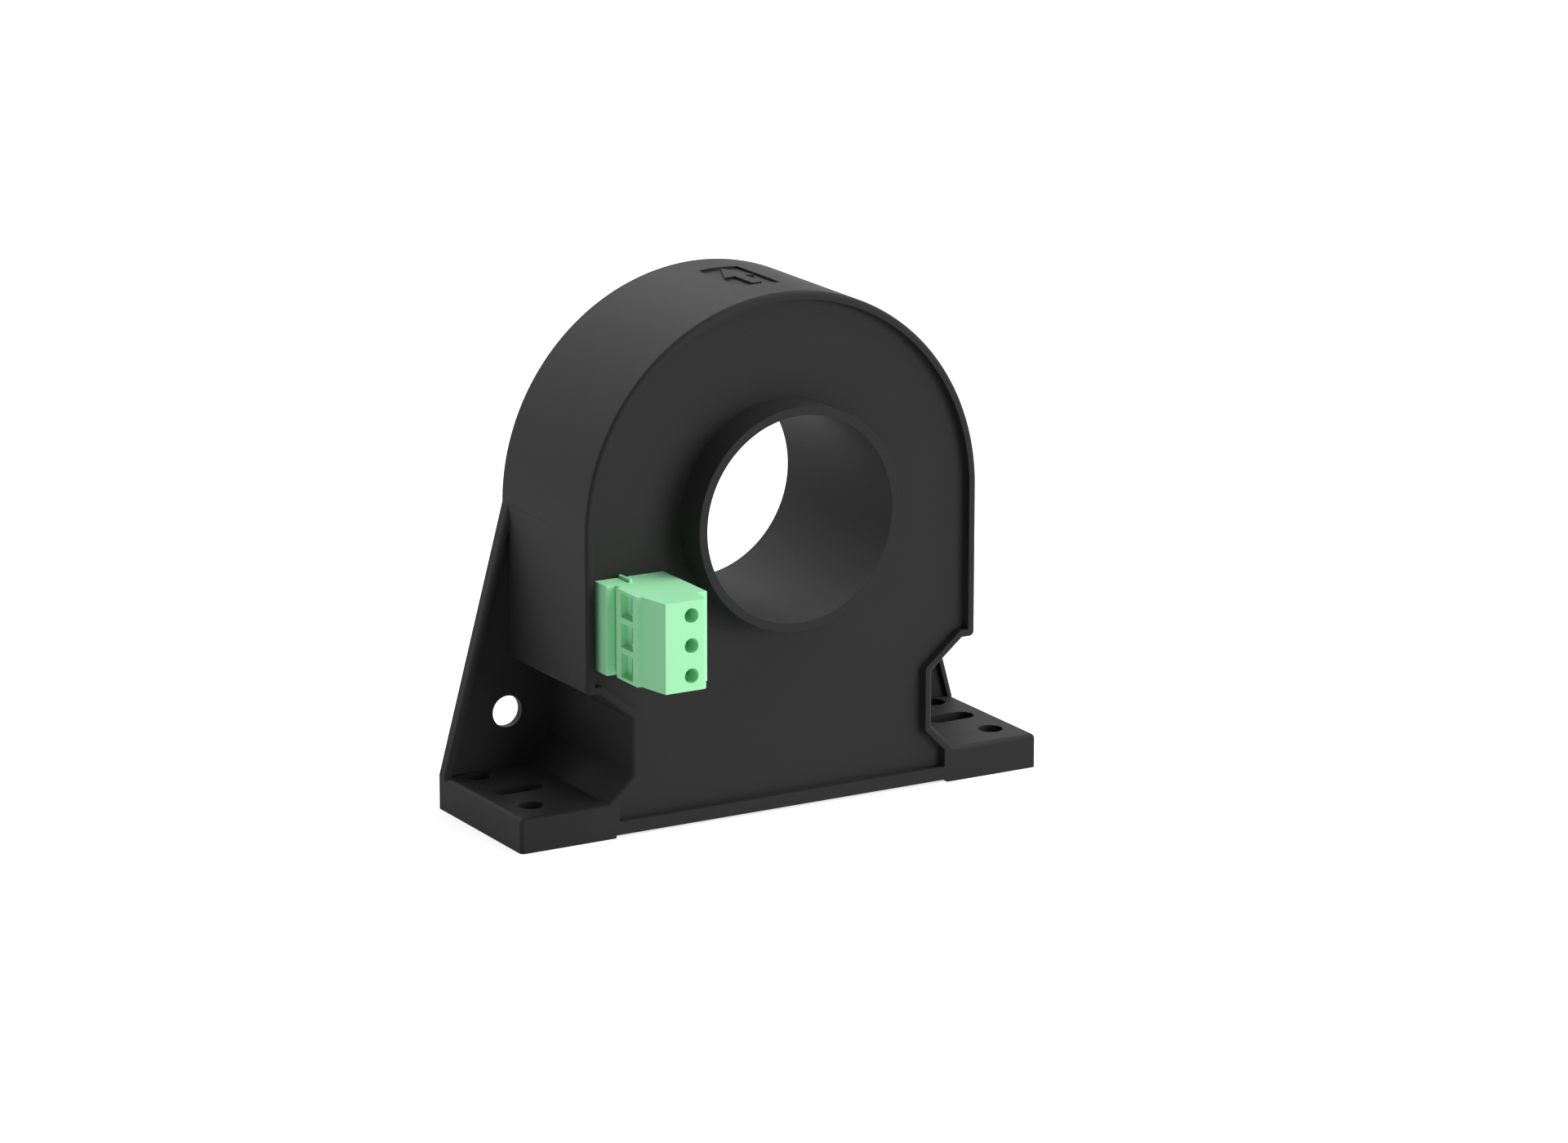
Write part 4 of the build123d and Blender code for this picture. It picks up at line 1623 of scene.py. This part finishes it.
def towards(azimuth: float, elevation: float) -> Vector:
    """Direction from the part to a place given in degrees, where azimuth 0 is the front."""
    a, e = math.radians(azimuth), math.radians(elevation)
    return Vector((math.sin(a) * math.cos(e), -math.cos(a) * math.cos(e), math.sin(e)))


@dataclass(frozen=True)
class Sun:
    """One broad, distant light."""

    name: str
    azimuth: float
    elevation: float
    strength: float
    spread: float = 36.0


SUNS = (
    Sun("front_right_sun", 32, 5, 2.2),
    Sun("right_sun", 85, 5, 0.25),
    Sun("upper_right_sun", 72, 55, 2.5),
    Sun("back_sun", 180, 16, 1.5, 50),
)


@dataclass
class Studio:
    """Pale floor, soft light and the camera of the photograph."""

    camera_place: tuple[float, float, float] = (-0.492626, -0.863309, 0.252774)
    azimuth: float = -30.130
    elevation: float = 14.998
    roll: float = 0.051
    lens: float = 139.963
    nearest: float = 0.05
    farthest: float = 50.0
    floor_size: float = 6.0
    floor_shade: float = 0.8
    floor_glow: float = 0.75
    sky: float = 0.22
    suns: tuple[Sun, ...] = SUNS

    def camera(self) -> None:
        """Set the camera at the viewing angle of the photograph."""
        a, r = math.radians(self.azimuth), math.radians(self.roll)
        back = towards(self.azimuth, self.elevation)
        right = Vector((math.cos(a), math.sin(a), 0))
        up = back.cross(right)
        across = right * math.cos(r) + up * math.sin(r)
        above = up * math.cos(r) - right * math.sin(r)
        data = bpy.data.cameras.new("photo_camera")
        data.lens = self.lens
        data.clip_start, data.clip_end = self.nearest, self.farthest
        obj = bpy.data.objects.new("photo_camera", data)
        bpy.context.scene.collection.objects.link(obj)
        turn = Matrix((across, above, back)).transposed().to_4x4()
        obj.matrix_world = Matrix.Translation(self.camera_place) @ turn
        bpy.context.scene.camera = obj

    def floor(self) -> None:
        """Lay the floor under the feet, grey to the lights and white to the eye."""
        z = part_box("housing")[0].z
        half = self.floor_size / 2
        bm = bmesh.new()
        signs = ((-1, -1), (1, -1), (1, 1), (-1, 1))
        bm.faces.new([bm.verts.new((sx * half, sy * half, z)) for sx, sy in signs])
        obj = make_object("studio_floor", bm)
        material = bpy.data.materials.new("studio_floor")
        material.use_nodes = True
        tree = material.node_tree
        shader = tree.nodes["Principled BSDF"]
        shader.inputs["Base Color"].default_value = (*[self.floor_shade] * 3, 1)
        shader.inputs["Roughness"].default_value = 1.0
        shader.inputs["Specular IOR Level"].default_value = 0.0
        shader.inputs["Emission Color"].default_value = WHITE
        level = self.where_seen(tree, 0.0, self.floor_glow)
        tree.links.new(level, shader.inputs["Emission Strength"])
        obj.data.materials.append(material)
        obj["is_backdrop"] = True

    def where_seen(self, tree: bpy.types.NodeTree, hidden: float, seen: float) -> Socket:
        """Level of a surface's light, one to the eye and another as light on the object.

        Args:
            tree: Tree that gets the nodes.
            hidden: Level as light on the object.
            seen: Level to the eye, in reflections and through glass.

        Returns:
            The level.
        """
        path = tree.nodes.new("ShaderNodeLightPath")
        shown = path.outputs["Is Camera Ray"]
        for other in ("Is Glossy Ray", "Is Transmission Ray"):
            either = tree.nodes.new("ShaderNodeMath")
            either.operation = "MAXIMUM"
            tree.links.new(shown, either.inputs[0])
            tree.links.new(path.outputs[other], either.inputs[1])
            shown = either.outputs["Value"]
        level = tree.nodes.new("ShaderNodeMapRange")
        level.inputs["To Min"].default_value = hidden
        level.inputs["To Max"].default_value = seen
        tree.links.new(shown, level.inputs["Value"])
        return level.outputs["Result"]

    def world(self) -> None:
        """White surroundings to the eye and to reflections, softer as light."""
        world = bpy.data.worlds.new("studio_world")
        bpy.context.scene.world = world
        world.use_nodes = True
        tree = world.node_tree
        sky = tree.nodes["Background"]
        sky.inputs["Color"].default_value = WHITE
        tree.links.new(self.where_seen(tree, self.sky, 1.0), sky.inputs["Strength"])

    def shine(self, sun: Sun) -> None:
        """Add a light.

        Args:
            sun: The light.
        """
        data = bpy.data.lights.new(sun.name, "SUN")
        data.energy = sun.strength
        data.angle = math.radians(sun.spread)
        obj = bpy.data.objects.new(sun.name, data)
        obj.rotation_euler = towards(sun.azimuth, sun.elevation).to_track_quat("Z", "Y").to_euler()
        bpy.context.scene.collection.objects.link(obj)

    def build(self) -> None:
        """Set up everything that isn't part of the object."""
        bpy.context.scene.view_settings.view_transform = "Standard"
        self.camera()
        self.floor()
        self.world()
        for sun in self.suns:
            self.shine(sun)
        log.info("studio ready")


def write_sizes() -> None:
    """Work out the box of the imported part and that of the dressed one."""
    boxes = {"cad": cad_box, "visual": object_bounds()}
    {name: [list(corner) for corner in box] for name, box in boxes.items()}


def main() -> None:
    """Dress every piece of the sensor and set up the studio."""
    logging.basicConfig(level=logging.INFO, format="%(message)s")
    wardrobe = Wardrobe()
    HousingMoulding(wardrobe).build()
    wardrobe.dress_node("potting_compound", POTTING_RESIN)
    TerminalHeader(wardrobe).build()
    TerminalPlug(wardrobe).build()
    PoleMetal(wardrobe).build()
    RingCore(wardrobe).build()
    BoardParts(wardrobe).build()
    Studio().build()
    write_sizes()


if __name__ == "__main__":
    main()
